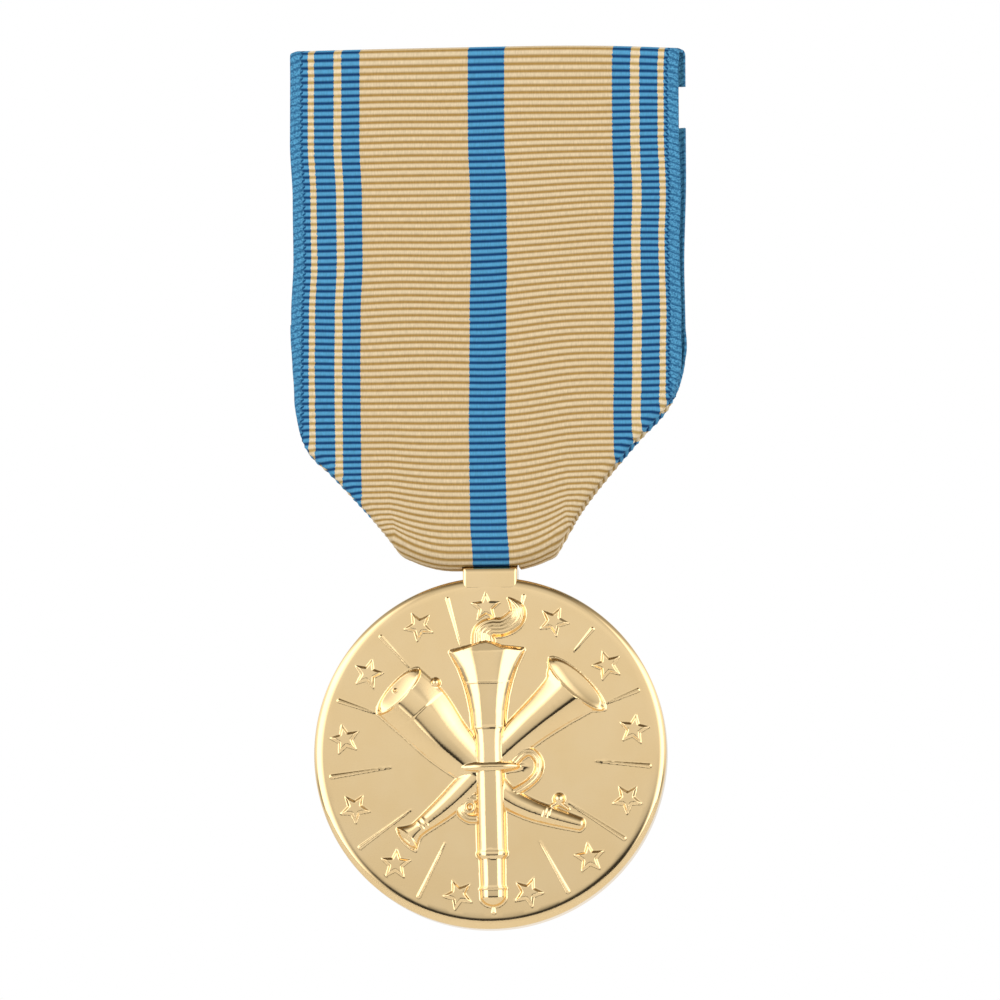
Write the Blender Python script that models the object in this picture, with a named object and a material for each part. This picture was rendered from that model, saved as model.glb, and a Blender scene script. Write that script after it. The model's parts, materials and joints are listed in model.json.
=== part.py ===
"""Service medal: a struck medallion that hangs from a folded ribbon with a brooch pin.

Units are metres. +X is right in a front view, +Z is up, and +Y points to the back.
The origin is at the middle of the brooch pin's stem.
"""

from math import atan2, cos, hypot, pi, radians, sin

import bmesh
import bpy
from mathutils import Matrix, Vector

# Ribbon: one strip, folded over the brooch plate and round the hanger bar.
RIBBON_WIDTH = 0.0350
RIBBON_THICKNESS = 0.00045
RIBBON_TOP_Z = 0.00535
RIBBON_MID_Y = -0.00265
TOP_FOLD_RADIUS = 0.0010
LOWER_FOLD_RADIUS = 0.0016
FLAP_HEIGHT = 0.0034
OPEN_BAND_HEIGHT = 0.0039
HANGER_Z = -0.0410
# Lower corners of the folded ribbon, from the side edge to the bottom fold, as (x, z).
LEFT_CORNER = [(-0.0175, -0.0286), (-0.0154, -0.0325), (-0.0079, -0.0410), (-0.0052, -0.0430)]
RIGHT_CORNER = [(0.0175, -0.0259), (0.0107, -0.0343), (0.0066, -0.0406), (0.0046, -0.0430)]
# Buttonhole slit in the bottom fold, as angles from straight down, positive to the back.
SLIT_HALF_LENGTH = 0.0027
SLIT_FRONT_ANGLE = -40.0
SLIT_BACK_ANGLE = 95.0

# Medallion: disc, lug and relief are one struck piece.
DISC_DIAMETER = 0.03175
DISC_THICKNESS = 0.0026
DISC_SETBACK = 0.000067
DISC_TOP_BELOW_HANGER = 0.00243
FRONT_EDGE_RADIUS = 0.00045
BACK_EDGE_RADIUS = 0.0003
LUG_WIDTH = 0.0050
LUG_NECK_THICKNESS = 0.0007
KNUCKLE_RADIUS = 0.0010
KNUCKLE_BORE_RADIUS = 0.00055
RELIEF_TURN = 1.5
RELIEF_FLATTENING = 0.33
STAR_COUNT = 13
STAR_RING_RADIUS = 0.0131
STAR_RADIUS = 0.00135
STAR_HEIGHT = 0.00022
RAY_INNER_RADIUS = 0.0089
RAY_OUTER_RADIUS = 0.0142
RAY_HALF_WIDTH = 0.0002
RAY_HEIGHT = 0.00014
FLAME_HEIGHT = 0.0004

# Hanger bar: a thin middle in the lug's knuckle, and thicker ends that fill the ribbon's fold.
HANGER_MIDDLE_RADIUS = 0.0005
HANGER_END_RADIUS = 0.00105
HANGER_HALF_LENGTH = 0.0043
HANGER_SHOULDER_X = 0.0028

# Brooch plate, in the ribbon's top fold.
PLATE_WIDTH = 0.0340
PLATE_THICKNESS = 0.0009
PLATE_TOP_Z = 0.00425
PLATE_BOTTOM_Z = -0.0034
SLOT_WIDTH = 0.0316
SLOT_TOP_Z = 0.0031
SLOT_BOTTOM_Z = 0.0020

# Pin and its hinge. The pin's stem lies along X through the origin.
SOLDER_GAP = 0.00005
RUNNING_GAP = 0.00005
HINGE_X = -0.0132
PIN_TIP_X = 0.0149
PIN_TAPER_X = 0.0095
PIN_RADIUS = 0.00045
PIN_TIP_RADIUS = 0.00006
EYE_RADIUS = 0.00105
EYE_HALF_HEIGHT = 0.0005
RIVET_RADIUS = 0.0005
RIVET_HEAD_RADIUS = 0.00085
RIVET_HEAD_HEIGHT = 0.0003
BRACKET_WIDTH = 0.0032
BRACKET_BASE_THICKNESS = 0.00035
EAR_INNER_Z = 0.0006
EAR_OUTER_Z = 0.00095
EAR_RADIUS = 0.0011

# Catch with a rotating lock, open to the back.
CATCH_X = 0.0125
CATCH_HALF_WIDTH = 0.0008
CATCH_OUTER_RADIUS = 0.00175
CATCH_INNER_RADIUS = 0.00125
CATCH_SLOT_HALF_WIDTH = 0.00075
CATCH_FOOT_HALF_LENGTH = 0.0016
CATCH_FOOT_HALF_HEIGHT = 0.0015
CATCH_FOOT_THICKNESS = 0.0003
LOCK_RADIUS = 0.00115
LOCK_FLANGE_RADIUS = 0.0016
LOCK_FLANGE_THICKNESS = 0.0006
LOCK_SIDE_GAP = 0.00012
LOCK_SLOT_HALF_WIDTH = 0.0005
LEVER_LENGTH = 0.0031
LEVER_THICKNESS = 0.00055
LEVER_ANGLE = 75.0

# Threads.
STITCH_LENGTH = 0.0016
STITCH_RADIUS = 0.00012
THREAD_NECK_RADIUS = 0.00007
TOP_SEAM_Z = 0.00255
REAR_SEAM_Z = -0.0042
SEAM_HALF_LENGTH = 0.0160
TACK_HALF_LENGTH = 0.0016

HANGER_POINT = Vector((0.0, RIBBON_MID_Y, HANGER_Z))
HINGE_POINT = Vector((HINGE_X, 0.0, 0.0))
CATCH_POINT = Vector((CATCH_X, 0.0, 0.0))
DISC_CENTRE = HANGER_POINT + Vector(
    (0.0, DISC_SETBACK, -DISC_TOP_BELOW_HANGER - DISC_DIAMETER / 2)
)
FIELD_Y = DISC_CENTRE.y - DISC_THICKNESS / 2
PLATE_FRONT_Y = RIBBON_MID_Y - PLATE_THICKNESS / 2
PLATE_BACK_Y = RIBBON_MID_Y + PLATE_THICKNESS / 2
ALONG_X = Matrix.Rotation(pi / 2, 4, "Y")
ALONG_Y = Matrix.Rotation(-pi / 2, 4, "X")


def clear_scene():
    """Remove every object of the scene."""
    for item in list(bpy.data.objects):
        bpy.data.objects.remove(item, do_unlink=True)


def make_material(name, colour, metallic, roughness):
    """Return a Principled material."""
    material = bpy.data.materials.new(name)
    material.use_nodes = True
    shader = material.node_tree.nodes["Principled BSDF"]
    shader.inputs["Base Color"].default_value = (*colour, 1.0)
    shader.inputs["Metallic"].default_value = metallic
    shader.inputs["Roughness"].default_value = roughness
    return material


def make_object(name, bm):
    """Turn a bmesh into an object of the scene, with its faces pointing out."""
    bmesh.ops.recalc_face_normals(bm, faces=bm.faces)
    mesh = bpy.data.meshes.new(name)
    bm.to_mesh(mesh)
    bm.free()
    item = bpy.data.objects.new(name, mesh)
    bpy.context.scene.collection.objects.link(item)
    return item


def combine(target, others, operation):
    """Apply one exact Boolean to the target for each of the others, and drop the others."""
    for other in others:
        modifier = target.modifiers.new("cut", "BOOLEAN")
        modifier.operation = operation
        modifier.solver = "EXACT"
        modifier.object = other
        bpy.context.view_layer.update()
        evaluated = target.evaluated_get(bpy.context.evaluated_depsgraph_get())
        result = bpy.data.meshes.new_from_object(evaluated)
        target.modifiers.clear()
        target.data = result
        bpy.data.objects.remove(other, do_unlink=True)
    return target


def finish_part(item, name, material, origin=None):
    """Name the part, give it its one material, and move its origin onto its joint's axis."""
    item.name = name
    item.data.name = name
    item.data.materials.clear()
    item.data.materials.append(material)
    item.data.shade_smooth()
    item.data.set_sharp_from_angle(angle=radians(35))
    if origin:
        item.data.transform(Matrix.Translation(-origin))
        item.location = origin
    return item


def turned(name, profile, segments, placement):
    """Return a closed solid of revolution. The profile is (radius, height) along local Z."""
    bm = bmesh.new()
    rings = []
    for radius, height in profile:
        if radius == 0:
            rings.append([bm.verts.new((0, 0, height))])
            continue
        turns = [2 * pi * step / segments for step in range(segments)]
        rings.append([bm.verts.new((radius * cos(t), radius * sin(t), height)) for t in turns])
    for low, high in zip(rings, rings[1:]):
        join_rings(bm, low, high)
    for ring in (rings[0], rings[-1]):
        if len(ring) > 1:
            bm.faces.new(ring)
    bm.transform(placement)
    return make_object(name, bm)


def join_rings(bm, low, high):
    """Bridge two rings of the same count, or a ring and a point."""
    count = max(len(low), len(high))
    for step in range(count):
        after = (step + 1) % count
        if len(low) == 1:
            bm.faces.new((low[0], high[after], high[step]))
        elif len(high) == 1:
            bm.faces.new((low[step], low[after], high[0]))
        else:
            bm.faces.new((low[step], low[after], high[after], high[step]))


def cylinder(name, radius, low, high, segments, placement):
    """Return a plain cylinder along the placement's Z."""
    return turned(name, [(radius, low), (radius, high)], segments, placement)


def prism(name, outline, low, high, placement):
    """Return a closed prism of a flat outline, from low to high along the placement's Z."""
    bm = bmesh.new()
    bottom = [bm.verts.new((u, v, low)) for u, v in outline]
    top = [bm.verts.new((u, v, high)) for u, v in outline]
    join_rings(bm, bottom, top)
    bm.faces.new(bottom)
    bm.faces.new(top)
    bm.transform(placement)
    return make_object(name, bm)


def box(name, low, high):
    """Return a box between two corners."""
    outline = [(low[0], low[1]), (high[0], low[1]), (high[0], high[1]), (low[0], high[1])]
    return prism(name, outline, low[2], high[2], Matrix.Identity(4))


def arc(centre, radius, start, end, steps):
    """Return points of an arc, with angles in degrees."""
    turns = [radians(start + (end - start) * step / steps) for step in range(steps + 1)]
    return [(centre[0] + radius * cos(t), centre[1] + radius * sin(t)) for t in turns]


# Matrix from an outline's (y, z) plane, extruded along X, and from (x, z), extruded along Y.
YZ_PLANE = Matrix(((0, 0, 1, 0), (1, 0, 0, 0), (0, 1, 0, 0), (0, 0, 0, 1)))
XZ_PLANE = Matrix(((1, 0, 0, 0), (0, 0, 1, 0), (0, 1, 0, 0), (0, 0, 0, 1)))


def ribbon_section(inset):
    """Return the ribbon's closed outline in (y, z), inset from its outer face."""
    top_z = RIBBON_TOP_Z - TOP_FOLD_RADIUS
    over = arc((RIBBON_MID_Y, top_z), TOP_FOLD_RADIUS - inset, 0, 180, 10)
    under = arc((RIBBON_MID_Y, HANGER_Z), LOWER_FOLD_RADIUS - inset, 180, 360, 16)
    return over + under


def shift_line(points, distance):
    """Shift an open line of (x, z) points sideways by a distance, with mitred corners."""
    normals = []
    for (x0, z0), (x1, z1) in zip(points, points[1:]):
        length = hypot(x1 - x0, z1 - z0)
        normals.append(Vector((-(z1 - z0) / length, (x1 - x0) / length)))
    shifted = []
    for index, point in enumerate(points):
        before = normals[max(index - 1, 0)]
        after = normals[min(index, len(normals) - 1)]
        middle = (before + after).normalized()
        shifted.append(tuple(Vector(point) + middle * (distance / middle.dot(before))))
    return shifted


def drape_outline(wall, side):
    """Return the front outline in (x, z): wall moves the corners in, and side moves the edges out."""
    left = shift_line(LEFT_CORNER, wall)
    right = shift_line(RIGHT_CORNER, -wall)
    edge = RIBBON_WIDTH / 2 + side
    top = RIBBON_TOP_Z + 0.001
    bottom = HANGER_Z - LOWER_FOLD_RADIUS - 0.001
    left_side = [(-edge, top), (-edge, left[0][1] + side)]
    right_side = [(edge, right[0][1] + side), (edge, top)]
    return left_side + left + [(left[-1][0], bottom), (right[-1][0], bottom)] + right[::-1] + right_side


def make_ribbon(material):
    """The folded ribbon: both plies, both folds, the closed corners, the open band and the slit."""
    reach = RIBBON_WIDTH
    ribbon = prism("ribbon_drape", ribbon_section(0.0), -reach, reach, YZ_PLANE)
    silhouette = prism("silhouette", drape_outline(0.0, 0.0), -0.02, 0.02, XZ_PLANE)
    combine(ribbon, [silhouette], "INTERSECT")

    inside = prism("inside", ribbon_section(RIBBON_THICKNESS), -reach, reach, YZ_PLANE)
    inner_silhouette = drape_outline(RIBBON_THICKNESS, 0.001)
    core = prism("core", inner_silhouette, -0.02, 0.02, XZ_PLANE)
    combine(inside, [core], "INTERSECT")

    band_top = RIBBON_TOP_Z - FLAP_HEIGHT
    band_bottom = band_top - OPEN_BAND_HEIGHT
    band = box("band", (-reach, RIBBON_MID_Y, band_bottom), (reach, 0.005, band_top))

    angles = (SLIT_FRONT_ANGLE - 90, SLIT_BACK_ANGLE - 90)
    outer = arc((RIBBON_MID_Y, HANGER_Z), LOWER_FOLD_RADIUS + 0.0003, *angles, 14)
    wedge = [(RIBBON_MID_Y, HANGER_Z)] + outer
    slit = prism("slit", wedge, -SLIT_HALF_LENGTH, SLIT_HALF_LENGTH, YZ_PLANE)

    combine(ribbon, [inside, band, slit], "DIFFERENCE")
    return finish_part(ribbon, "ribbon_drape", material)


def make_hanger_bar(material):
    """A turned rod that is thinner where the lug's knuckle turns on it."""
    chamfer = 0.0002
    half = [
        (HANGER_MIDDLE_RADIUS, HANGER_SHOULDER_X),
        (HANGER_END_RADIUS, HANGER_SHOULDER_X),
        (HANGER_END_RADIUS, HANGER_HALF_LENGTH - chamfer),
        (HANGER_END_RADIUS - chamfer, HANGER_HALF_LENGTH),
    ]
    profile = [(radius, -x) for radius, x in reversed(half)] + half
    bar = turned("hanger_bar", profile, 24, Matrix.Translation(HANGER_POINT) @ ALONG_X)
    return finish_part(bar, "hanger_bar", material)


def disc_body():
    """The plain disc, with a rounded front edge and a smaller rounded back edge."""
    radius = DISC_DIAMETER / 2
    half = DISC_THICKNESS / 2
    front = arc((radius - FRONT_EDGE_RADIUS, -half + FRONT_EDGE_RADIUS), FRONT_EDGE_RADIUS, -90, 0, 4)
    back = arc((radius - BACK_EDGE_RADIUS, half - BACK_EDGE_RADIUS), BACK_EDGE_RADIUS, 0, 90, 3)
    return turned("disc", front + back, 96, Matrix.Translation(DISC_CENTRE) @ ALONG_Y)


def lug_body():
    """The lug: a thin neck in the ribbon's slit that widens in a concave curve onto the disc."""
    neck = LUG_NECK_THICKNESS / 2
    side = [(neck, 0.0), (neck, -0.00175), (0.0005, -0.00208), (0.0008, -0.00232), (0.00122, -0.0025)]
    side += [(0.00122, -0.0036)]
    outline = side + [(-y, z) for y, z in reversed(side)]
    half = LUG_WIDTH / 2
    return prism("lug", outline, -half, half, Matrix.Translation(HANGER_POINT) @ YZ_PLANE)


def relief_matrix():
    """Placement of the relief: local X and Y lie in the field, and local Z points to the front."""
    facing = Matrix.Rotation(pi / 2, 4, "X")
    turn = Matrix.Rotation(radians(RELIEF_TURN), 4, "Z")
    centre = Vector((DISC_CENTRE.x, FIELD_Y, DISC_CENTRE.z))
    return Matrix.Translation(centre) @ facing @ turn


def relief_tube(name, stations, segments):
    """A tapered tube in the field, flattened to low relief. Stations are (x, y, radius)."""
    bm = bmesh.new()
    rings = []
    for index, (x, y, radius) in enumerate(stations):
        before = stations[max(index - 1, 0)]
        after = stations[min(index + 1, len(stations) - 1)]
        heading = atan2(after[1] - before[1], after[0] - before[0])
        ring = []
        for step in range(segments):
            turn = 2 * pi * (step + 0.5) / segments
            across = radius * cos(turn)
            height = radius * sin(turn) * RELIEF_FLATTENING
            point = (x - across * sin(heading), y + across * cos(heading), height)
            ring.append(bm.verts.new(point))
        rings.append(ring)
    for low, high in zip(rings, rings[1:]):
        join_rings(bm, low, high)
    bm.faces.new(rings[0])
    bm.faces.new(rings[-1])
    bm.transform(relief_matrix())
    return make_object(name, bm)


def torch_body():
    """The torch: pointed cap, bowl, shaft, collar ring, grip bands and rounded end."""
    half_widths = [
        (0.0098, 0.0006), (0.0091, 0.0033), (0.0085, 0.0031), (0.0062, 0.0021), (0.0034, 0.00156),
        (0.0020, 0.00138), (-0.0011, 0.00138), (-0.0012, 0.0027), (-0.0019, 0.0027), (-0.0020, 0.0013),
        (-0.0090, 0.00125), (-0.0091, 0.0015), (-0.0096, 0.0015), (-0.0097, 0.00118), (-0.0128, 0.0011),
        (-0.0136, 0.0008), (-0.0139, 0.0003),
    ]
    return relief_tube("torch", [(0.0, y, width) for y, width in half_widths], 12)


def powder_horn_body():
    """The powder horn, from its open mouth at the upper left to its narrow end."""
    stations = [
        (-0.0083, 0.0056, 0.0026), (-0.0060, 0.0038, 0.0026), (-0.0030, 0.0012, 0.0021),
        (0.0, -0.0020, 0.0016), (0.0030, -0.0046, 0.0011), (0.0060, -0.0060, 0.0009),
        (0.0088, -0.0072, 0.0007),
    ]
    return relief_tube("powder_horn", stations, 10)


def bugle_body():
    """The bugle, from its bell at the upper right to its mouthpiece."""
    stations = [
        (0.0080, 0.0060, 0.0032), (0.0070, 0.0048, 0.0023), (0.0055, 0.0033, 0.0017),
        (0.0020, 0.0001, 0.0012), (-0.0030, -0.0043, 0.0009), (-0.0063, -0.0073, 0.0006),
        (-0.0072, -0.0080, 0.0009), (-0.0078, -0.0085, 0.0010),
    ]
    return relief_tube("bugle", stations, 10)


def cord_loop_body():
    """The bugle's cord loop, at the right of the torch."""
    sweep = arc((0.0039, -0.0013), 0.0010, -60, 160, 6)
    stations = [(0.0012, -0.0040)] + sweep + [(0.0022, -0.0020)]
    return relief_tube("cord_loop", [(x, y, 0.00034) for x, y in stations], 6)


def flame_body():
    """The flame above the torch, blown to the right with its tip turned up."""
    outline = [
        (-0.0017, 0.0092), (-0.0017, 0.0108), (-0.0005, 0.0118), (0.0012, 0.0121), (0.0023, 0.0128),
        (0.0018, 0.0136), (0.0031, 0.0131), (0.0034, 0.0118), (0.0022, 0.0106), (0.0012, 0.0099),
        (0.0010, 0.0092),
    ]
    return prism("flame", outline, -0.0003, FLAME_HEIGHT, relief_matrix())


def star_body(turn):
    """A five-pointed star with one point outwards. The turn is in degrees from the disc's top."""
    inner = STAR_RADIUS * 0.42
    outline = []
    for step in range(10):
        radius = STAR_RADIUS if step % 2 == 0 else inner
        angle = radians(90 + 36 * step)
        outline.append((radius * cos(angle), radius * sin(angle)))
    spin = Matrix.Rotation(radians(turn), 4, "Z")
    place = relief_matrix() @ spin @ Matrix.Translation((0.0, STAR_RING_RADIUS, 0.0))
    return prism("star", outline, -0.0003, STAR_HEIGHT, place)


def ray_body(turn):
    """A thin ray that narrows to the centre. The turn is in degrees from the disc's top."""
    outline = [
        (-RAY_HALF_WIDTH, RAY_OUTER_RADIUS), (RAY_HALF_WIDTH, RAY_OUTER_RADIUS),
        (RAY_HALF_WIDTH * 0.4, RAY_INNER_RADIUS), (-RAY_HALF_WIDTH * 0.4, RAY_INNER_RADIUS),
    ]
    spin = Matrix.Rotation(radians(turn), 4, "Z")
    return prism("ray", outline, -0.0003, RAY_HEIGHT, relief_matrix() @ spin)


def make_medallion(material):
    """The struck medallion, with the lug's knuckle bored for the hanger bar."""
    spacing = 360 / STAR_COUNT
    half = LUG_WIDTH / 2
    at_hanger = Matrix.Translation(HANGER_POINT) @ ALONG_X
    medallion = disc_body()
    stars = [star_body(spacing * index) for index in range(STAR_COUNT)]
    rays = [ray_body(spacing * (index + 0.5)) for index in range(STAR_COUNT)]
    knuckle = cylinder("knuckle", KNUCKLE_RADIUS, -half, half, 24, at_hanger)
    lug = combine(lug_body(), [knuckle], "UNION")
    bore = cylinder("bore", KNUCKLE_BORE_RADIUS, -half - 0.001, half + 0.001, 24, at_hanger)
    combine(lug, [bore], "DIFFERENCE")
    horns = [powder_horn_body(), bugle_body(), cord_loop_body()]
    combine(medallion, [lug] + stars + rays + horns + [flame_body(), torch_body()], "UNION")
    return finish_part(medallion, "medallion", material, HANGER_POINT)


def make_brooch_plate(material):
    """The plate in the top fold, with the long slot that the top seam passes through."""
    half = PLATE_WIDTH / 2
    corner = 0.0004
    outline = []
    for x, z, start in (
        (half, PLATE_TOP_Z, 0),
        (-half, PLATE_TOP_Z, 90),
        (-half, PLATE_BOTTOM_Z, 180),
        (half, PLATE_BOTTOM_Z, 270),
    ):
        inner_x = x - corner if x > 0 else x + corner
        inner_z = z - corner if z > 0 else z + corner
        outline += arc((inner_x, inner_z), corner, start, start + 90, 4)
    plate = prism("brooch_plate", outline, PLATE_FRONT_Y, PLATE_BACK_Y, XZ_PLANE)
    middle_z = (SLOT_TOP_Z + SLOT_BOTTOM_Z) / 2
    end = (SLOT_TOP_Z - SLOT_BOTTOM_Z) / 2
    right = arc((SLOT_WIDTH / 2 - end, middle_z), end, -90, 90, 8)
    left = arc((-SLOT_WIDTH / 2 + end, middle_z), end, 90, 270, 8)
    slot = prism("slot", right + left, PLATE_FRONT_Y - 0.001, PLATE_BACK_Y + 0.001, XZ_PLANE)
    combine(plate, [slot], "DIFFERENCE")
    return finish_part(plate, "brooch_plate", material)


def make_hinge_bracket(material):
    """The soldered bracket with two round-ended ears."""
    half = BRACKET_WIDTH / 2
    base_y = PLATE_BACK_Y + SOLDER_GAP
    outline = [(HINGE_X - half, base_y), (HINGE_X + half, base_y)]
    outline += [(HINGE_X + half, base_y + BRACKET_BASE_THICKNESS)]
    outline += arc((HINGE_X, 0.0), EAR_RADIUS, 0, 180, 12)
    outline += [(HINGE_X - half, base_y + BRACKET_BASE_THICKNESS)]
    bracket = prism("hinge_bracket", outline, -EAR_OUTER_Z, EAR_OUTER_Z, Matrix.Identity(4))
    between = box(
        "between_ears",
        (HINGE_X - 0.003, base_y + BRACKET_BASE_THICKNESS, -EAR_INNER_Z),
        (HINGE_X + 0.003, 0.003, EAR_INNER_Z),
    )
    bore = cylinder(
        "bore", RIVET_RADIUS + RUNNING_GAP, -0.002, 0.002, 24, Matrix.Translation(HINGE_POINT)
    )
    combine(bracket, [between, bore], "DIFFERENCE")
    return finish_part(bracket, "hinge_bracket", material)


def make_hinge_rivet(material):
    """The rivet through both ears, with a low domed head at each end."""
    head_z = EAR_OUTER_Z + RUNNING_GAP
    half = [(RIVET_RADIUS, head_z), (RIVET_HEAD_RADIUS, head_z)]
    half += [(RIVET_HEAD_RADIUS * cos(t), head_z + RIVET_HEAD_HEIGHT * (0.3 + 0.7 * sin(t)))
             for t in (0.0, 0.5, 1.0)]
    half += [(0, head_z + RIVET_HEAD_HEIGHT)]
    profile = [(radius, -z) for radius, z in reversed(half)] + half
    rivet = turned("hinge_rivet", profile, 24, Matrix.Translation(HINGE_POINT))
    return finish_part(rivet, "hinge_rivet", material)


def make_pin_stem(material):
    """The pin: an eye on the rivet, a round stem and a long fine point."""
    profile = [
        (PIN_RADIUS, HINGE_X + 0.0008),
        (PIN_RADIUS, PIN_TAPER_X),
        (PIN_RADIUS * 0.86, PIN_TAPER_X + (PIN_TIP_X - PIN_TAPER_X) * 0.5),
        (PIN_RADIUS * 0.5, PIN_TAPER_X + (PIN_TIP_X - PIN_TAPER_X) * 0.85),
        (PIN_TIP_RADIUS, PIN_TIP_X),
    ]
    eye_place = Matrix.Translation(HINGE_POINT)
    pin = turned("pin_stem", profile, 16, ALONG_X)
    eye = cylinder("eye", EYE_RADIUS, -EYE_HALF_HEIGHT, EYE_HALF_HEIGHT, 24, eye_place)
    combine(pin, [eye], "UNION")
    hole = cylinder("hole", RIVET_RADIUS + RUNNING_GAP, -0.002, 0.002, 24, eye_place)
    combine(pin, [hole], "DIFFERENCE")
    return finish_part(pin, "pin_stem", material, HINGE_POINT)


def make_catch_base(material):
    """The C-shaped catch on its soldered foot, open to the back."""
    base_y = PLATE_BACK_Y + SOLDER_GAP
    foot_top = base_y + CATCH_FOOT_THICKNESS
    at_catch = Matrix.Translation(CATCH_POINT) @ ALONG_X
    foot = box(
        "catch_base",
        (CATCH_X - CATCH_FOOT_HALF_LENGTH, base_y, -CATCH_FOOT_HALF_HEIGHT),
        (CATCH_X + CATCH_FOOT_HALF_LENGTH, foot_top, CATCH_FOOT_HALF_HEIGHT),
    )
    stalk = box(
        "stalk",
        (CATCH_X - CATCH_HALF_WIDTH, base_y + CATCH_FOOT_THICKNESS / 2, -0.0009),
        (CATCH_X + CATCH_HALF_WIDTH, -CATCH_INNER_RADIUS, 0.0009),
    )
    ring = cylinder("ring", CATCH_OUTER_RADIUS, -CATCH_HALF_WIDTH, CATCH_HALF_WIDTH, 32, at_catch)
    combine(foot, [stalk, ring], "UNION")
    inside = cylinder("inside", CATCH_INNER_RADIUS, -0.001, 0.001, 32, at_catch)
    opening = box(
        "opening",
        (CATCH_X - 0.001, 0.0, -CATCH_SLOT_HALF_WIDTH),
        (CATCH_X + 0.001, 0.003, CATCH_SLOT_HALF_WIDTH),
    )
    combine(foot, [inside, opening], "DIFFERENCE")
    return finish_part(foot, "catch_base", material)


def make_catch_lock(material):
    """The rotating lock: a slotted drum with a flange at each side and a lever on the outer one."""
    inner_x = CATCH_HALF_WIDTH + LOCK_SIDE_GAP
    outer_x = inner_x + LOCK_FLANGE_THICKNESS
    profile = [
        (LOCK_FLANGE_RADIUS, -outer_x), (LOCK_FLANGE_RADIUS, -inner_x), (LOCK_RADIUS, -inner_x),
        (LOCK_RADIUS, inner_x), (LOCK_FLANGE_RADIUS, inner_x), (LOCK_FLANGE_RADIUS, outer_x),
    ]
    lock = turned("catch_lock", profile, 32, Matrix.Translation(CATCH_POINT) @ ALONG_X)
    radial = Matrix.Translation(CATCH_POINT) @ Matrix.Rotation(radians(LEVER_ANGLE), 4, "X")
    half = LEVER_THICKNESS / 2
    tip = arc((LEVER_LENGTH - half, 0.0), half, -90, 90, 6)
    lever_outline = [(LOCK_RADIUS, half), (LOCK_RADIUS, -half)] + tip
    lever = prism("lever", lever_outline, inner_x, outer_x, radial @ YZ_PLANE)
    combine(lock, [lever], "UNION")
    slot = [(0.004, -LOCK_SLOT_HALF_WIDTH), (0.004, LOCK_SLOT_HALF_WIDTH)]
    slot += arc((0.0, 0.0), LOCK_SLOT_HALF_WIDTH, 90, 270, 10)
    channel = prism("channel", slot, CATCH_X - 0.003, CATCH_X + 0.003, YZ_PLANE)
    combine(lock, [channel], "DIFFERENCE")
    return finish_part(lock, "catch_lock", material, CATCH_POINT)


def make_thread(name, material, centre, heading, half_length):
    """A row of stitches as one bead, thin between them. The heading is in degrees from +X to +Z."""
    count = round(2 * half_length / STITCH_LENGTH)
    length = 2 * half_length / count
    profile = [(THREAD_NECK_RADIUS, -half_length)]
    for index in range(count):
        start = -half_length + index * length
        profile += [(STITCH_RADIUS, start + 0.25 * length), (STITCH_RADIUS, start + 0.75 * length)]
        profile += [(THREAD_NECK_RADIUS, start + length)]
    turn = Matrix.Rotation(radians(-heading), 4, "Y")
    thread = turned(name, profile, 6, Matrix.Translation(centre) @ turn @ ALONG_X)
    return finish_part(thread, name, material)


def make_threads(material):
    """Both seams, and the tack that closes each tucked corner, all on the back."""
    clear = STITCH_RADIUS + SOLDER_GAP
    top_back_y = RIBBON_MID_Y + TOP_FOLD_RADIUS
    top_z = RIBBON_TOP_Z - TOP_FOLD_RADIUS
    spread = (LOWER_FOLD_RADIUS - TOP_FOLD_RADIUS) / (top_z - HANGER_Z)
    for name, x, z, heading, half_length in (
        ("top_seam_thread", 0.0, TOP_SEAM_Z, 0.0, SEAM_HALF_LENGTH),
        ("rear_seam_thread", 0.0, REAR_SEAM_Z, 0.0, SEAM_HALF_LENGTH),
        ("left_corner_tack", -0.0090, -0.0375, -48.0, TACK_HALF_LENGTH),
        ("right_corner_tack", 0.0076, -0.0365, 58.0, TACK_HALF_LENGTH),
    ):
        reach = half_length * sin(radians(abs(heading)))
        y = top_back_y + clear + spread * (top_z - z + reach)
        make_thread(name, material, Vector((x, y, z)), heading, half_length)


def build():
    """Model every part of the medal."""
    clear_scene()
    gilt = make_material("gilt_bronze", (0.86, 0.66, 0.34), 1.0, 0.16)
    fabric = make_material("striped_ribbon", (0.70, 0.55, 0.33), 0.0, 0.85)
    brass = make_material("brooch_brass", (0.74, 0.58, 0.30), 1.0, 0.30)
    steel = make_material("pin_steel", (0.72, 0.72, 0.70), 1.0, 0.25)
    thread = make_material("sewing_thread", (0.72, 0.62, 0.45), 0.0, 0.90)
    make_ribbon(fabric)
    make_hanger_bar(brass)
    make_medallion(gilt)
    make_brooch_plate(brass)
    make_hinge_bracket(brass)
    make_hinge_rivet(brass)
    make_pin_stem(steel)
    make_catch_base(brass)
    make_catch_lock(brass)
    make_threads(thread)


build()
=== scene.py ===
import json
import math

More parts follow.
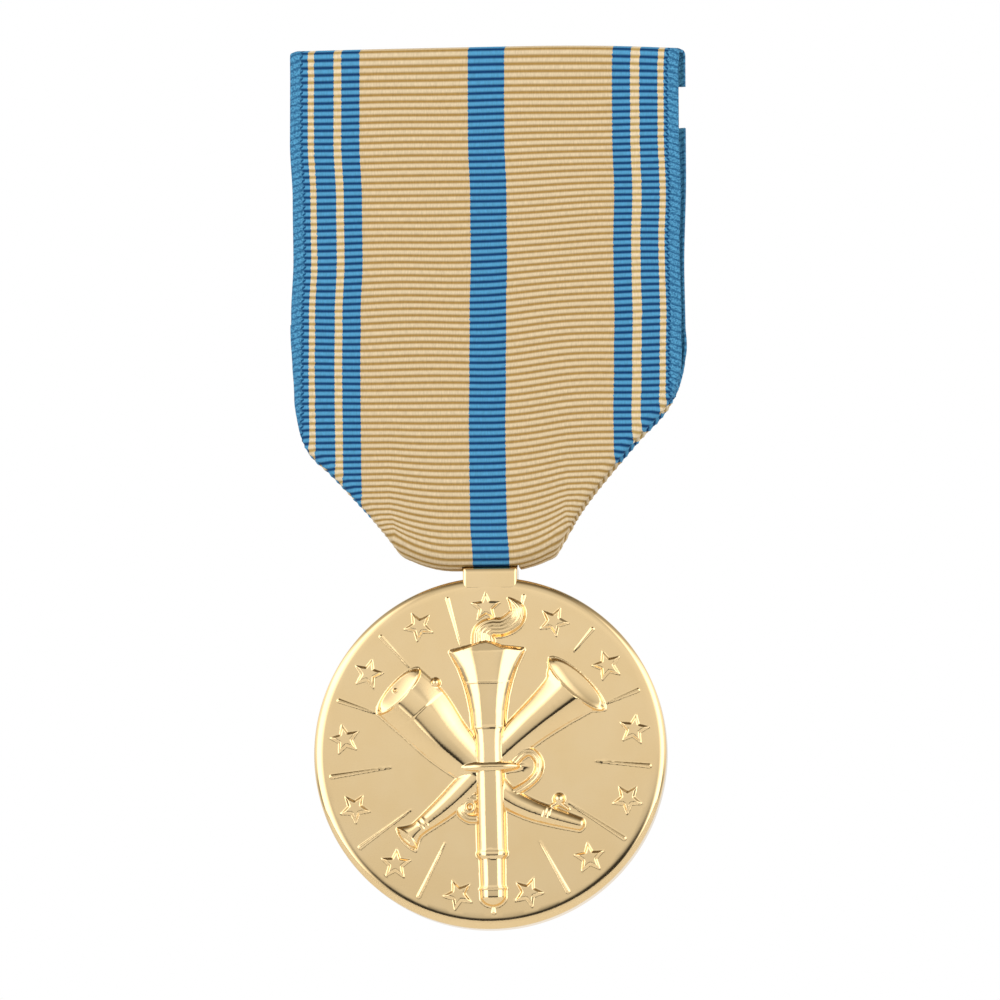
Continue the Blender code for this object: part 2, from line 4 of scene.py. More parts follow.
import bpy
import numpy as np
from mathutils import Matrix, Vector


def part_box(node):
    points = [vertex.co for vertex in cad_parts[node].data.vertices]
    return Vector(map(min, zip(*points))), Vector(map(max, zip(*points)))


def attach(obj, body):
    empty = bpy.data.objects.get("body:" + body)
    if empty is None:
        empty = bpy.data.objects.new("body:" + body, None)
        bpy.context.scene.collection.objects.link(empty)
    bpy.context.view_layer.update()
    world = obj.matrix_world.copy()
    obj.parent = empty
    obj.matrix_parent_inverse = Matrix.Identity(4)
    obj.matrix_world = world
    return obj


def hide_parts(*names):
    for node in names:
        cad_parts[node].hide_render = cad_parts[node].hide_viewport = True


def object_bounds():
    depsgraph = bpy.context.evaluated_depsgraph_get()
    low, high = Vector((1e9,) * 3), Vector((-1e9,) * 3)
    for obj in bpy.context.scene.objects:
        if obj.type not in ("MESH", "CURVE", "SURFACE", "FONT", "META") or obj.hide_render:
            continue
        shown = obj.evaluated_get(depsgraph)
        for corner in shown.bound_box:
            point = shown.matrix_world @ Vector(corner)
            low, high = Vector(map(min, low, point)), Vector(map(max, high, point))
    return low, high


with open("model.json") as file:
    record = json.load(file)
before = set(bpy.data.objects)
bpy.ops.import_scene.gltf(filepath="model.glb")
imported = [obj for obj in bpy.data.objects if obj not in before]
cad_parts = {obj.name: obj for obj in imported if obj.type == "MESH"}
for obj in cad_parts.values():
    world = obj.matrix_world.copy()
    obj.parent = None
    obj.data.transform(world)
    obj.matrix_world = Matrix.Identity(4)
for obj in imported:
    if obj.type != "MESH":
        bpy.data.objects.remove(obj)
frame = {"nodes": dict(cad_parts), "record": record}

# Shapes are worked out in millimetres and written to meshes in metres.
MM = 0.001
cad_box = [list(corner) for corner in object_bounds()]
CENTRE = (Vector(cad_box[0]) + Vector(cad_box[1])) / 2
joints = {joint["name"]: joint for joint in frame["record"]["behaviour"]["joints"]}
HANGER = Vector(joints["medallion_swing"]["pos_m"]) / MM


def node_box(node):
    """Return a CAD node's lowest and highest corners in millimetres."""
    low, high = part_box(node)
    return Vector(low) / MM, Vector(high) / MM


def smooth(low, high, value):
    """Rise from 0 to 1 between low and high, with flat ends. High may be the smaller one."""
    t = np.clip((value - low) / (high - low), 0.0, 1.0)
    return t * t * (3 - 2 * t)


def add_object(name, data):
    """Put an object in the scene."""
    thing = bpy.data.objects.new(name, data)
    bpy.context.scene.collection.objects.link(thing)
    return thing


def make_piece(name, points, faces, body, material):
    """Make a smooth mesh piece from points in millimetres, and let it ride on its body."""
    mesh = bpy.data.meshes.new(name)
    mesh.from_pydata((np.asarray(points) * MM).tolist(), [], faces)
    mesh.update()
    mesh.shade_smooth()
    mesh.materials.append(material)
    piece = add_object(name, mesh)
    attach(piece, body)
    return piece


def set_normals(piece, normals):
    """Give the piece its own normal at each vertex."""
    normals /= np.linalg.norm(normals, axis=1)[:, None]
    piece.data.normals_split_custom_set_from_vertices(normals.tolist())


def set_uv(piece, name, uv):
    """Give the piece a UV map from one (u, v) for each vertex."""
    mesh = piece.data
    corners = np.empty(len(mesh.loops), dtype=np.int64)
    mesh.loops.foreach_get("vertex_index", corners)
    layer = mesh.uv_layers.new(name=name)
    layer.data.foreach_set("uv", np.asarray(uv, dtype=np.float32)[corners].ravel())


# --- Materials -----------------------------------------------------------------------------

# In metres: how deep the metals' grain and scratches are, and the length of one turn of thread.
SCRATCH_DEPTH = 0.00001
THREAD_TWIST = 0.00026


class Nodes:
    """A short way to write the node tree of a material or of the world."""

    def __init__(self, owner):
        owner.use_nodes = True
        self.owner = owner
        self.tree = owner.node_tree
        self.shader = self.tree.nodes.get("Principled BSDF") or self.tree.nodes["Background"]

    def link(self, source, target):
        self.tree.links.new(source, target)

    def shade(self, name, source):
        """Feed one of the shader's inputs."""
        self.link(source, self.shader.inputs[name])

    def set(self, **values):
        for key, value in values.items():
            self.shader.inputs[key.replace("_", " ")].default_value = value

    def put(self, socket, value):
        """Give a socket a number, a colour or a link."""
        if isinstance(value, (int, float)):
            socket.default_value = value
        elif isinstance(value, tuple):
            socket.default_value = (*value, 1.0)
        else:
            self.link(value, socket)

    def add(self, kind, **settings):
        node = self.tree.nodes.new(kind)
        for key, value in settings.items():
            setattr(node, key, value)
        return node

    def split(self, vector):
        """Return a vector's three parts."""
        node = self.add("ShaderNodeSeparateXYZ")
        self.link(vector, node.inputs[0])
        return node.outputs

    def math(self, operation, first, second=None):
        node = self.add("ShaderNodeMath", operation=operation)
        self.put(node.inputs[0], first)
        if second is not None:
            self.put(node.inputs[1], second)
        return node.outputs[0]

    def noise(self, vector, scale, detail=2.0, roughness=0.5):
        node = self.add("ShaderNodeTexNoise")
        for key, value in (("Scale", scale), ("Detail", detail), ("Roughness", roughness)):
            node.inputs[key].default_value = value
        self.link(vector, node.inputs["Vector"])
        return node.outputs["Fac"]

    def span(self, value, low, high, to_low=0.0, to_high=1.0):
        node = self.add("ShaderNodeMapRange")
        limits = {"From Min": low, "From Max": high, "To Min": to_low, "To Max": to_high}
        for key, number in limits.items():
            node.inputs[key].default_value = number
        self.link(value, node.inputs["Value"])
        return node.outputs["Result"]

    def mix(self, factor, first, second, blend="MIX"):
        node = self.add("ShaderNodeMix", data_type="RGBA", blend_type=blend)
        for index, value in ((0, factor), (6, first), (7, second)):
            self.put(node.inputs[index], value)
        return node.outputs[2]

    def ramp(self, value, stops, interpolation="LINEAR"):
        """Colours along a value from 0 to 1, from stops of (position, colour)."""
        node = self.add("ShaderNodeValToRGB")
        node.color_ramp.interpolation = interpolation
        elements = node.color_ramp.elements
        while len(elements) < len(stops):
            elements.new(0.5)
        for element, (position, colour) in zip(elements, stops):
            element.position = position
            element.color = (*colour, 1.0)
        self.link(value, node.inputs[0])
        return node.outputs[0]

    def bump(self, height, strength, distance, below=None):
        node = self.add("ShaderNodeBump")
        node.inputs["Strength"].default_value = strength
        node.inputs["Distance"].default_value = distance
        self.link(height, node.inputs["Height"])
        if below:
            self.link(below, node.inputs["Normal"])
        return node.outputs["Normal"]


def new_material(name):
    """Return the nodes of a new material, and each point's place on the object."""
    nodes = Nodes(bpy.data.materials.new(name))
    return nodes, nodes.add("ShaderNodeTexCoord").outputs["Object"]


def metal_material(name, colour, shade, roughness, grain, scratch):
    """Return a metal with cloudy tone, fine grain and hairline scratches."""
    nodes, place = new_material(name)
    cloud = nodes.noise(place, 260.0, 3.0)
    nodes.shade("Base Color", nodes.mix(nodes.span(cloud, 0.35, 0.65), colour, shade))
    smear = nodes.noise(place, 900.0, 4.0, 0.6)
    nodes.shade("Roughness", nodes.span(smear, 0.3, 0.7, roughness * 0.75, roughness * 1.3))
    stretch = nodes.add("ShaderNodeMapping")
    stretch.inputs["Scale"].default_value = (1.0, 1.0, 22.0)
    stretch.inputs["Rotation"].default_value = (0.0, 0.5, 0.0)
    nodes.link(place, stretch.inputs["Vector"])
    lines = nodes.noise(stretch.outputs["Vector"], 700.0, 3.0, 0.7)
    first = nodes.bump(nodes.noise(place, 9000.0), grain, SCRATCH_DEPTH)
    nodes.shade("Normal", nodes.bump(lines, scratch, SCRATCH_DEPTH, first))
    nodes.set(Metallic=1.0)
    return nodes.owner


def thread_material():
    """Cotton sewing thread: two twisted strands with a faint sheen."""
    nodes, place = new_material("sewing_thread")
    parts = nodes.split(place)
    slant = nodes.math("ADD", parts["X"], nodes.math("MULTIPLY", parts["Z"], 0.8))
    twist = nodes.math("SINE", nodes.math("MULTIPLY", slant, 2 * math.pi / THREAD_TWIST))
    strand_height_and_shade = nodes.span(twist, -1.0, 1.0)
    # The colour follows the strand height and is darkest in the hollows between the twisted
    # strands: painted shade.
    nodes.shade("Base Color", nodes.mix(strand_height_and_shade, (0.34, 0.24, 0.12), (0.66, 0.52, 0.32)))
    fuzz = nodes.noise(place, 12000.0, 3.0, 0.7)
    height = nodes.math("ADD", strand_height_and_shade, nodes.math("MULTIPLY", fuzz, 0.5))
    nodes.shade("Normal", nodes.bump(height, 0.7, 0.00004))
    nodes.set(Roughness=0.75, Sheen_Weight=0.2)
    return nodes.owner


RIBBON_CREAM = (0.69, 0.57, 0.385)
RIBBON_TAN = (0.63, 0.500, 0.318)
RIBBON_BLUE = (0.070, 0.280, 0.49)
SELVEDGE_DARK = (0.003, 0.055, 0.15)
SELVEDGE_LIGHT = (0.080, 0.300, 0.50)
# What a stripe's colour is multiplied by in the hollow between two ribs: painted shade.
GROOVE_SHADE_ON_BLUE = (0.05, 0.43, 0.50)
GROOVE_SHADE_ON_WARM = (0.86, 0.83, 0.57)
# Widths of the stripes from the left selvedge, in millimetres, with their colour.
STRIPES = [
    (1.60, RIBBON_BLUE), (0.56, RIBBON_CREAM), (1.69, RIBBON_BLUE), (0.70, RIBBON_CREAM),
    (1.72, RIBBON_BLUE), (9.64, RIBBON_TAN), (3.33, RIBBON_BLUE), (9.74, RIBBON_TAN),
    (1.62, RIBBON_BLUE), (0.72, RIBBON_CREAM), (1.68, RIBBON_BLUE), (0.53, RIBBON_CREAM),
    (1.47, RIBBON_BLUE),
]
RIB_PITCH = 0.62
RIBBON_HALF_WIDTH = 17.5
SELVEDGE = 1.02
SELVEDGE_BLUR = 0.04
STRIPE_WANDER = 0.22
WARP_PITCH = 0.16


def ribbon_material():
    """Woven stripes, painted shade between the ribs, warp threads and mottled selvedges."""
    nodes = Nodes(bpy.data.materials.new("striped_ribbon"))
    weave = nodes.add("ShaderNodeUVMap", uv_map="weave").outputs["UV"]
    across, along, _ = nodes.split(weave)

    def stretched(x_scale, y_scale):
        scaled = nodes.add("ShaderNodeVectorMath", operation="MULTIPLY")
        scaled.inputs[1].default_value = (x_scale, y_scale, 1.0)
        nodes.link(weave, scaled.inputs[0])
        return scaled.outputs[0]

    # Threads wander a little, so the stripes' edges are not ruler straight.
    jitter = nodes.noise(stretched(3.0, 3.0), 1.0)
    wander = nodes.math("MULTIPLY", nodes.math("SUBTRACT", jitter, 0.5), STRIPE_WANDER)
    place = nodes.math("DIVIDE", nodes.math("ADD", across, wander), 2 * RIBBON_HALF_WIDTH)
    starts = np.cumsum([0.0] + [width for width, _ in STRIPES])
    stops = [(start / starts[-1], colour) for start, (_, colour) in zip(starts, STRIPES)]
    stripe = nodes.ramp(place, stops, "CONSTANT")

    # Rib phase: 0 in the hollow between ribs and 1 on the crest; towards 0 the colour gets painted
    # shade.
    turn = nodes.math("MULTIPLY", along, 2 * math.pi)
    crest = nodes.math("SUBTRACT", 0.5, nodes.math("MULTIPLY", nodes.math("COSINE", turn), 0.5))
    red = nodes.add("ShaderNodeSeparateColor")
    nodes.link(stripe, red.inputs[0])
    warm = nodes.span(red.outputs[0], 0.1, 0.6)
    # Painted shade: between the ribs the stripe's colour is squared and darkened further (deep),
    # and ribbed blends it in by rib phase.
    groove_shade = nodes.mix(warm, GROOVE_SHADE_ON_BLUE, GROOVE_SHADE_ON_WARM)
    deep = nodes.mix(1.0, nodes.mix(1.0, stripe, stripe, "MULTIPLY"), groove_shade, "MULTIPLY")
    ribbed = nodes.mix(nodes.span(crest, 0.05, 0.80), deep, stripe)

    # Warp threads: fine lines that run over each rib, each with its own tone.
    threads = nodes.noise(stretched(7.5, 0.9), 1.0, 3.0, 0.65)
    toned = nodes.mix(nodes.span(threads, 0.3, 0.7), (0.86, 0.84, 0.81), (1.09, 1.09, 1.09))
    woven = nodes.mix(1.0, ribbed, toned, "MULTIPLY")

    # Selvedges: slanting light stitches outside and a row of dark dots inside.
    centred = nodes.math("SUBTRACT", across, RIBBON_HALF_WIDTH)
    from_edge = nodes.math("SUBTRACT", RIBBON_HALF_WIDTH, nodes.math("ABSOLUTE", centred))
    slant = nodes.math("ADD", turn, nodes.math("MULTIPLY", from_edge, 3.6))
    slant = nodes.math("ADD", slant, nodes.math("MULTIPLY", jitter, 4.0))
    stitch = nodes.span(nodes.math("SINE", slant), -1.0, -0.1, 0.30, 1.0)
    grain = nodes.noise(stretched(5.5, 3.6), 1.0, 2.0, 0.6)
    light = nodes.math("MULTIPLY", stitch, nodes.span(grain, 0.38, 0.58, 0.35, 1.0))
    off_line = nodes.math("SUBTRACT", from_edge, SELVEDGE + SELVEDGE_BLUR)
    dot_turn = nodes.math("COSINE", nodes.math("ADD", turn, nodes.math("MULTIPLY", off_line, 7.0)))
    on_line = nodes.span(nodes.math("ABSOLUTE", off_line), 0.10, 0.17, 1.0, 0.0)
    dots = nodes.math("MULTIPLY", on_line, nodes.span(dot_turn, -0.2, -0.8))
    edge = nodes.span(nodes.math("ADD", from_edge, wander),
                      SELVEDGE - SELVEDGE_BLUR, SELVEDGE + SELVEDGE_BLUR, 1.0, 0.0)
    bordered = nodes.mix(edge, woven, nodes.mix(light, SELVEDGE_DARK, SELVEDGE_LIGHT))
    nodes.shade("Base Color", nodes.mix(dots, bordered, SELVEDGE_DARK))

    ridges = nodes.math("SINE", nodes.math("MULTIPLY", across, 2 * math.pi / WARP_PITCH))
    relief = nodes.math("ADD", nodes.math("MULTIPLY", ridges, 0.35), threads)
    first = nodes.bump(relief, 0.35, 0.00003)
    nodes.shade("Normal", nodes.bump(nodes.math("MULTIPLY", light, edge), 0.6, 0.00006, first))
    nodes.set(Roughness=0.68, Sheen_Weight=0.03, Sheen_Roughness=0.4, Specular_IOR_Level=0.15)
    return nodes.owner


# --- Ribbon --------------------------------------------------------------------------------

RIBBON_HALF_THICKNESS = 0.225
RIB_DEPTH = 0.11
CLOTH_THICKNESS = 0.30
LOWER_FOLD_RADIUS = 1.52
FLAP_CUT_Z = 1.95
REAR_CUT_Z = -1.95
# The tucked corners are all below this height.
CORNERS_BELOW = -20.0
# The rolled edge of a tucked corner: half of a flattened tube.
ROLL_ACROSS = 0.55
ROLL_DEPTH = 0.26
# Lower corners as the front shows them, from the side edge to the bottom fold, as (x, z).
LEFT_FOLD = [
    (-18.4, -21.5), (-17.95, -25.6), (-17.75, -28.1), (-16.83, -31.5), (-14.8, -33.6),
    (-13.1, -35.4), (-10.67, -38.1), (-8.6, -40.7), (-7.3, -42.6), (-6.3, -44.5),
]
RIGHT_FOLD = [
    (18.0, -22.5), (17.2, -25.7), (16.42, -27.5), (15.32, -29.0), (13.57, -30.8), (10.42, -34.5),
    (8.35, -37.2), (7.15, -39.2), (5.98, -41.4), (5.3, -43.2), (4.9, -44.5),
]


class RibbonPath:
    """The strip's line in (y, z): flap, top fold, front ply, bottom fold and rear ply."""

    def __init__(self):
        high = node_box("ribbon_drape")[1]
        self.mid_y = HANGER.y
        self.top_radius = high.z - node_box("brooch_plate")[1].z - 0.1 - RIBBON_HALF_THICKNESS
        self.low_radius = LOWER_FOLD_RADIUS
        self.top_z = high.z - RIBBON_HALF_THICKNESS - self.top_radius
        self.low_z = HANGER.z
        self.front = self.top_z - self.low_z
        # Where each of the five stretches ends, measured along the strip.
        self.ends = np.cumsum([
            self.top_z - FLAP_CUT_Z, math.pi * self.top_radius, self.front,
            math.pi * self.low_radius, REAR_CUT_Z - self.low_z,
        ])
        self.length = float(self.ends[-1])

    def half_depth(self, z):
        """Half of the distance between the plies' middles at a height."""
        share = np.clip((self.top_z - z) / self.front, 0.0, 1.0)
        return self.top_radius + (self.low_radius - self.top_radius) * share

    def at(self, s):
        """Return y from the middle plane, and z, at a length along the strip."""
        a, b, c, d, _ = self.ends
        over = np.clip((s - a) / self.top_radius, 0, math.pi)
        under = np.clip((s - c) / self.low_radius, 0, math.pi)
        front_z = self.top_z - np.clip(s - b, 0, self.front)
        rear_z = self.low_z + np.maximum(s - d, 0)
        y = np.select(
            [s < a, s < b, s < c, s < d],
            [self.top_radius, self.top_radius * np.cos(over), -self.half_depth(front_z),
             -self.low_radius * np.cos(under)],
            self.half_depth(rear_z),
        )
        z = np.select(
            [s < a, s < b, s < c, s < d],
            [FLAP_CUT_Z + s, self.top_z + self.top_radius * np.sin(over), front_z,
             self.low_z - self.low_radius * np.sin(under)],
            rear_z,
        )
        return y, z


def spline(points, count):
    """Return a smooth open curve through the points, as an array."""
    knots = np.array([points[0], *points, points[-1]], dtype=float)
    curve = []
    steps = max(2, count // (len(points) - 1))
    for p0, p1, p2, p3 in zip(knots, knots[1:], knots[2:], knots[3:]):
        for t in np.arange(steps) / steps:
            curve.append(0.5 * (2 * p1 + (p2 - p0) * t + (2 * p0 - 5 * p1 + 4 * p2 - p3) * t**2
                                + (3 * p1 - p0 - 3 * p2 + p3) * t**3))
    curve.append(knots[-1])
    return np.array(curve)


class Corner:
    """A tucked corner: its fold curve, and where the fold puts a point of the flat ply."""

    def __init__(self, points, side):
        """Side is -1 for the left corner and 1 for the right one."""
        self.side = side
        self.curve = spline(points, 220)
        step = np.gradient(self.curve, axis=0)
        self.spacing = np.linalg.norm(step, axis=1)
        self.tangent = step / self.spacing[:, None]
        self.normal = np.stack([-self.tangent[:, 1], self.tangent[:, 0]], axis=1) * side
        first, last = self.curve[len(self.curve) // 2], self.curve[int(len(self.curve) * 0.82)]
        along = (last - first) / np.linalg.norm(last - first)
        self.line_normal = np.array([-along[1], along[0]]) * side
        self.line_point = first

    def distance(self, x, z):
        """Signed distance from the fold curve, positive outside, and the curve's normal there."""
        flat = np.stack([x.ravel(), z.ravel()], axis=1)
        nearest = np.empty(len(flat), dtype=int)
        for start in range(0, len(flat), 20000):
            part = flat[start:start + 20000]
            gap = ((part[:, None, :] - self.curve[None, :, :]) ** 2).sum(axis=2)
            nearest[start:start + 20000] = gap.argmin(axis=1)
        along = ((flat - self.curve[nearest]) * self.tangent[nearest]).sum(axis=1)
        place = nearest + np.clip(along / self.spacing[nearest], -0.6, 0.6)
        count = np.arange(len(self.curve))
        foot = np.stack([np.interp(place, count, self.curve[:, k]) for k in (0, 1)], axis=1)
        normal = np.stack([np.interp(place, count, self.normal[:, k]) for k in (0, 1)], axis=1)
        signed = ((flat - foot) * normal).sum(axis=1)
        return signed.reshape(x.shape), normal.reshape(*x.shape, 2)

    def fold(self, x, z):
        """Return the folded x and z, and how deep the point goes behind its own ply."""
        signed, normal = self.distance(x, z)
        start = -ROLL_ACROSS - RIBBON_HALF_THICKNESS
        length = math.pi * math.sqrt((ROLL_ACROSS**2 + ROLL_DEPTH**2) / 2)
        turn = np.clip((signed - start) / length, 0, 1) * math.pi
        after = np.maximum(signed - start - length, 0)
        offset = np.where(signed < start, signed, start + ROLL_ACROSS * np.sin(turn) - after)
        depth = ROLL_DEPTH * (1 - np.cos(turn))
        shift = (offset - signed)[..., None] * normal
        line_gap = (np.stack([x, z], axis=-1) - self.line_point) @ self.line_normal
        straight = (-2 * line_gap - 1.2)[..., None] * self.line_normal
        share = smooth(1.0, 4.0, signed)[..., None]
        moved = shift * (1 - share) + straight * share
        return x + moved[..., 0], z + moved[..., 1], depth


# How far the front ply's edges and its middle wander to the right at a height, as (z, millimetres).
LEFT_SWAY = [
    (5.4, -0.30), (2.0, -0.26), (-3.0, -0.27), (-8.5, -0.18), (-14.0, -0.14), (-19.5, -0.22),
    (-25.0, -0.19), (-30.0, -0.06), (-41.0, 0.0),
]
RIGHT_SWAY = [
    (5.4, 0.22), (3.0, 0.12), (-3.0, 0.10), (-8.5, 0.06), (-14.0, -0.14), (-20.0, 0.08),
    (-25.0, 0.04), (-30.0, 0.0), (-41.0, 0.0),
]
MIDDLE_SWAY = [
    (2.5, -0.13), (-3.0, -0.10), (-8.5, 0.09), (-14.0, 0.10), (-19.5, -0.07), (-25.0, -0.18),
    (-29.5, -0.29), (-34.0, -0.30), (-38.7, -0.25), (-41.5, -0.06),
]


def sway(z, table):
    """Read a wander at a height, with soft changes between the listed ones."""
    total = np.full(z.shape, table[0][1], dtype=float)
    for (high, before), (low, after) in zip(table, table[1:]):
        total = total + (after - before) * smooth(high, low, z)
    return total


class Drape:
    """The folded ribbon as a map from (u across, s along) to its middle surface."""

    def __init__(self):
        self.path = RibbonPath()
        self.corners = [Corner(LEFT_FOLD, -1), Corner(RIGHT_FOLD, 1)]

    def flat(self, u, s):
        """The plies before the corners are tucked: x, y from the middle plane, and z."""
        y, z = self.path.at(s)
        above = np.clip(z - self.path.low_z, 0.0, None)
        near_bottom = np.exp(-above / 4.5)
        near_top = np.exp(-np.clip(self.path.top_z - z, 0.0, None) / 3.0)
        behind = smooth(-self.path.top_radius * 0.9, self.path.top_radius * 0.9, y)
        front = 1 - 0.55 * behind
        left_sway = sway(z, LEFT_SWAY) * smooth(2.0, -RIBBON_HALF_WIDTH, u)
        right_sway = sway(z, RIGHT_SWAY) * smooth(-2.0, RIBBON_HALF_WIDTH, u)
        x = 1.008 * u - 0.38 + 0.42 * smooth(-5.0, -41.0, z)
        x = x + (left_sway + right_sway + sway(z, MIDDLE_SWAY)) * (1 - behind)
        x = x + (0.55 - 0.30 * smooth(-6.0, -16.0, z)) * behind
        right = 0.072 * np.clip(u - 1.4, 0, 5.6) ** 2
        left = 0.064 * np.clip(-u - 3.3, 0, 5.2) ** 2
        rise = near_bottom * (right + left)
        wave = 0.72 * smooth(0.0, 10.5, u) * smooth(0.0, 24.0, self.path.top_z - z) * front
        ripple = 0.07 * np.sin(u * 0.55 + z * 0.21) * np.sin(z * 0.13 + 1.0) * front
        tilt = ((u - 4.0) / RIBBON_HALF_WIDTH) ** 2
        bow = near_top * (0.50 - tilt * np.where(u < 4.0, 0.06, 0.80))
        lift = (wave + ripple) * np.exp(-near_top * 3) * (1 - near_bottom)
        puff = 0.05 * np.sin(u * 0.32 + 0.8) * np.sin((z + 4) * 0.12)
        y = y + puff * (2 * behind - 1) * (1 - near_bottom) * (1 - near_top)
        return x, y, z + rise + lift + bow

    def point(self, u, s):
        """Return points of the middle surface, in millimetres."""
        x, y, z = self.flat(u, s)
        for corner in self.corners:
            new_x, new_z, depth = corner.fold(x, z)
            here = (x * corner.side > 3.0) & (z < CORNERS_BELOW)
            x = np.where(here, new_x, x)
            ply = self.path.half_depth(z)
            y = np.where(here, y * (1 - depth / ply), y)
            z = np.where(here, new_z, z)
        return np.stack([x, y + self.path.mid_y, z], axis=-1)

    def near_fold(self, u, s):
        """True where a point lies in the rolled edge of a corner."""
        x, _, z = self.flat(u, s)
        found = np.zeros(x.shape, dtype=bool)
        for corner in self.corners:
            signed, _ = corner.distance(x, z)
            found |= (np.abs(signed + 0.35) < 1.25) & (z < CORNERS_BELOW)
        return found

    def normal(self, u, s):
        """Return unit normals that point out of the strip's outer face."""
        step = 0.06
        du = self.point(u + step, s) - self.point(u - step, s)
        ds = self.point(u, s + step) - self.point(u, s - step)
        n = np.cross(ds, du)
        n /= np.maximum(np.linalg.norm(n, axis=-1)[..., None], 1e-9)
        return n


FINE_COLUMNS = 288
COARSE_STEP = 6
# Half of the slit's width in columns, and where it starts and ends round the bottom fold.
SLIT_COLUMNS = 21
SLIT_START = math.radians(60)
SLIT_PAST_FOLD = math.radians(5)


def zip_rows(low, high, low_u, high_u, faces):
    """Fill the strip between two rows of vertices with quads and triangles."""
    i = j = 0
    while i < len(low) - 1 or j < len(high) - 1:
        next_low = low_u[i + 1] if i < len(low) - 1 else math.inf
        next_high = high_u[j + 1] if j < len(high) - 1 else math.inf
        if abs(next_low - next_high) < 1e-6:
            faces.append((low[i], low[i + 1], high[j + 1], high[j]))
            i += 1
            j += 1
        elif next_low < next_high:
            faces.append((low[i], low[i + 1], high[j]))
            i += 1
        else:
            faces.append((low[i], high[j + 1], high[j]))
            j += 1


def make_ribbon(material):
    """The ribbed strip, folded, with its buttonhole slit: its outer face, thickened inward."""
    drape = Drape()
    path = drape.path
    ribs = int(path.length / RIB_PITCH)
    pitch = path.length / ribs
    steps = np.array([0.0, 0.17, 0.5, 0.83])
    rows = np.append((np.arange(ribs)[:, None] + steps).ravel() * pitch, path.length)
    columns = np.linspace(-RIBBON_HALF_WIDTH, RIBBON_HALF_WIDTH, FINE_COLUMNS + 1)
    middle = FINE_COLUMNS // 2
    slit = (middle - SLIT_COLUMNS, middle + SLIT_COLUMNS)
    coarse = np.zeros(FINE_COLUMNS + 1, dtype=bool)
    coarse[::COARSE_STEP] = True
    coarse[[0, 1, 2, 3, -4, -3, -2, -1, *slit]] = True

    fine = drape.near_fold(*np.broadcast_arrays(columns[None, :], rows[:, None]))
    keep = fine | coarse[None, :]
    top_start, top_end, low_start, low_end, _ = path.ends
    in_slit = ((rows > low_start + path.low_radius * SLIT_START)
               & (rows < low_end + path.low_radius * SLIT_PAST_FOLD))

    row_index, column_index = np.nonzero(keep)
    u, s = columns[column_index], rows[row_index]
    crest = (0.5 - 0.5 * np.cos(2 * math.pi * s / pitch)) ** 0.7
    from_edge = RIBBON_HALF_WIDTH - np.abs(u)
    crest = crest + (0.75 - crest) * (1 - smooth(SELVEDGE - 0.25, SELVEDGE + 0.1, from_edge))
    rounding = 0.12 * (1 - smooth(0.0, 0.35, from_edge))
    over_top = smooth(top_start, top_start + 0.5, s) * smooth(top_end + 0.2, top_end - 0.6, s)
    depth = RIB_DEPTH * (1 - 0.8 * over_top)
    height = RIBBON_HALF_THICKNESS - depth * (1 - crest) - rounding
    points = drape.point(u, s) + drape.normal(u, s) * height[:, None]

    number = np.full(keep.shape, -1)
    number[row_index, column_index] = np.arange(len(u))
    faces = []
    for row in range(len(rows) - 1):
        spans = [(0, FINE_COLUMNS)]
        if in_slit[row] and in_slit[row + 1]:
            spans = [(0, slit[0]), (slit[1], FINE_COLUMNS)]
        for first, last in spans:
            ends = []
            for at in (row, row + 1):
                chosen = np.nonzero(keep[at, first:last + 1])[0] + first
                ends.append((number[at, chosen].tolist(), columns[chosen].tolist()))
            zip_rows(ends[0][0], ends[1][0], ends[0][1], ends[1][1], faces)
    used = np.zeros(len(points), dtype=bool)
    used[[vertex for face in faces for vertex in face]] = True
    renumber = (np.cumsum(used) - 1).tolist()
    faces = [tuple(renumber[vertex] for vertex in reversed(face)) for face in faces]
    ribbon = make_piece("ribbon", points[used], faces, "drape", material)
    set_uv(ribbon, "weave", np.stack([u + RIBBON_HALF_WIDTH, s / pitch], axis=1)[used])
    thick = ribbon.modifiers.new("thickness", "SOLIDIFY")
    thick.thickness = CLOTH_THICKNESS * MM
    thick.offset = -1.0
    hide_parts("ribbon_drape")


# --- Medallion relief ----------------------------------------------------------------------

RELIEF_TURN = math.radians(1.5)
RASTER_STEP = 0.02
RASTER_HALF = 16.0
STAR_COUNT = 13
STAR_RING = 13.1
RAY_OUTER = 14.4
STAR_RADIUS = 1.47
STAR_HEIGHT = 0.20
STAR_BEVEL = 0.22
# The least half width of a tapered tube.
NARROWEST = 0.02
# How far the worn edges of the relief are rounded.
WEAR = 0.035


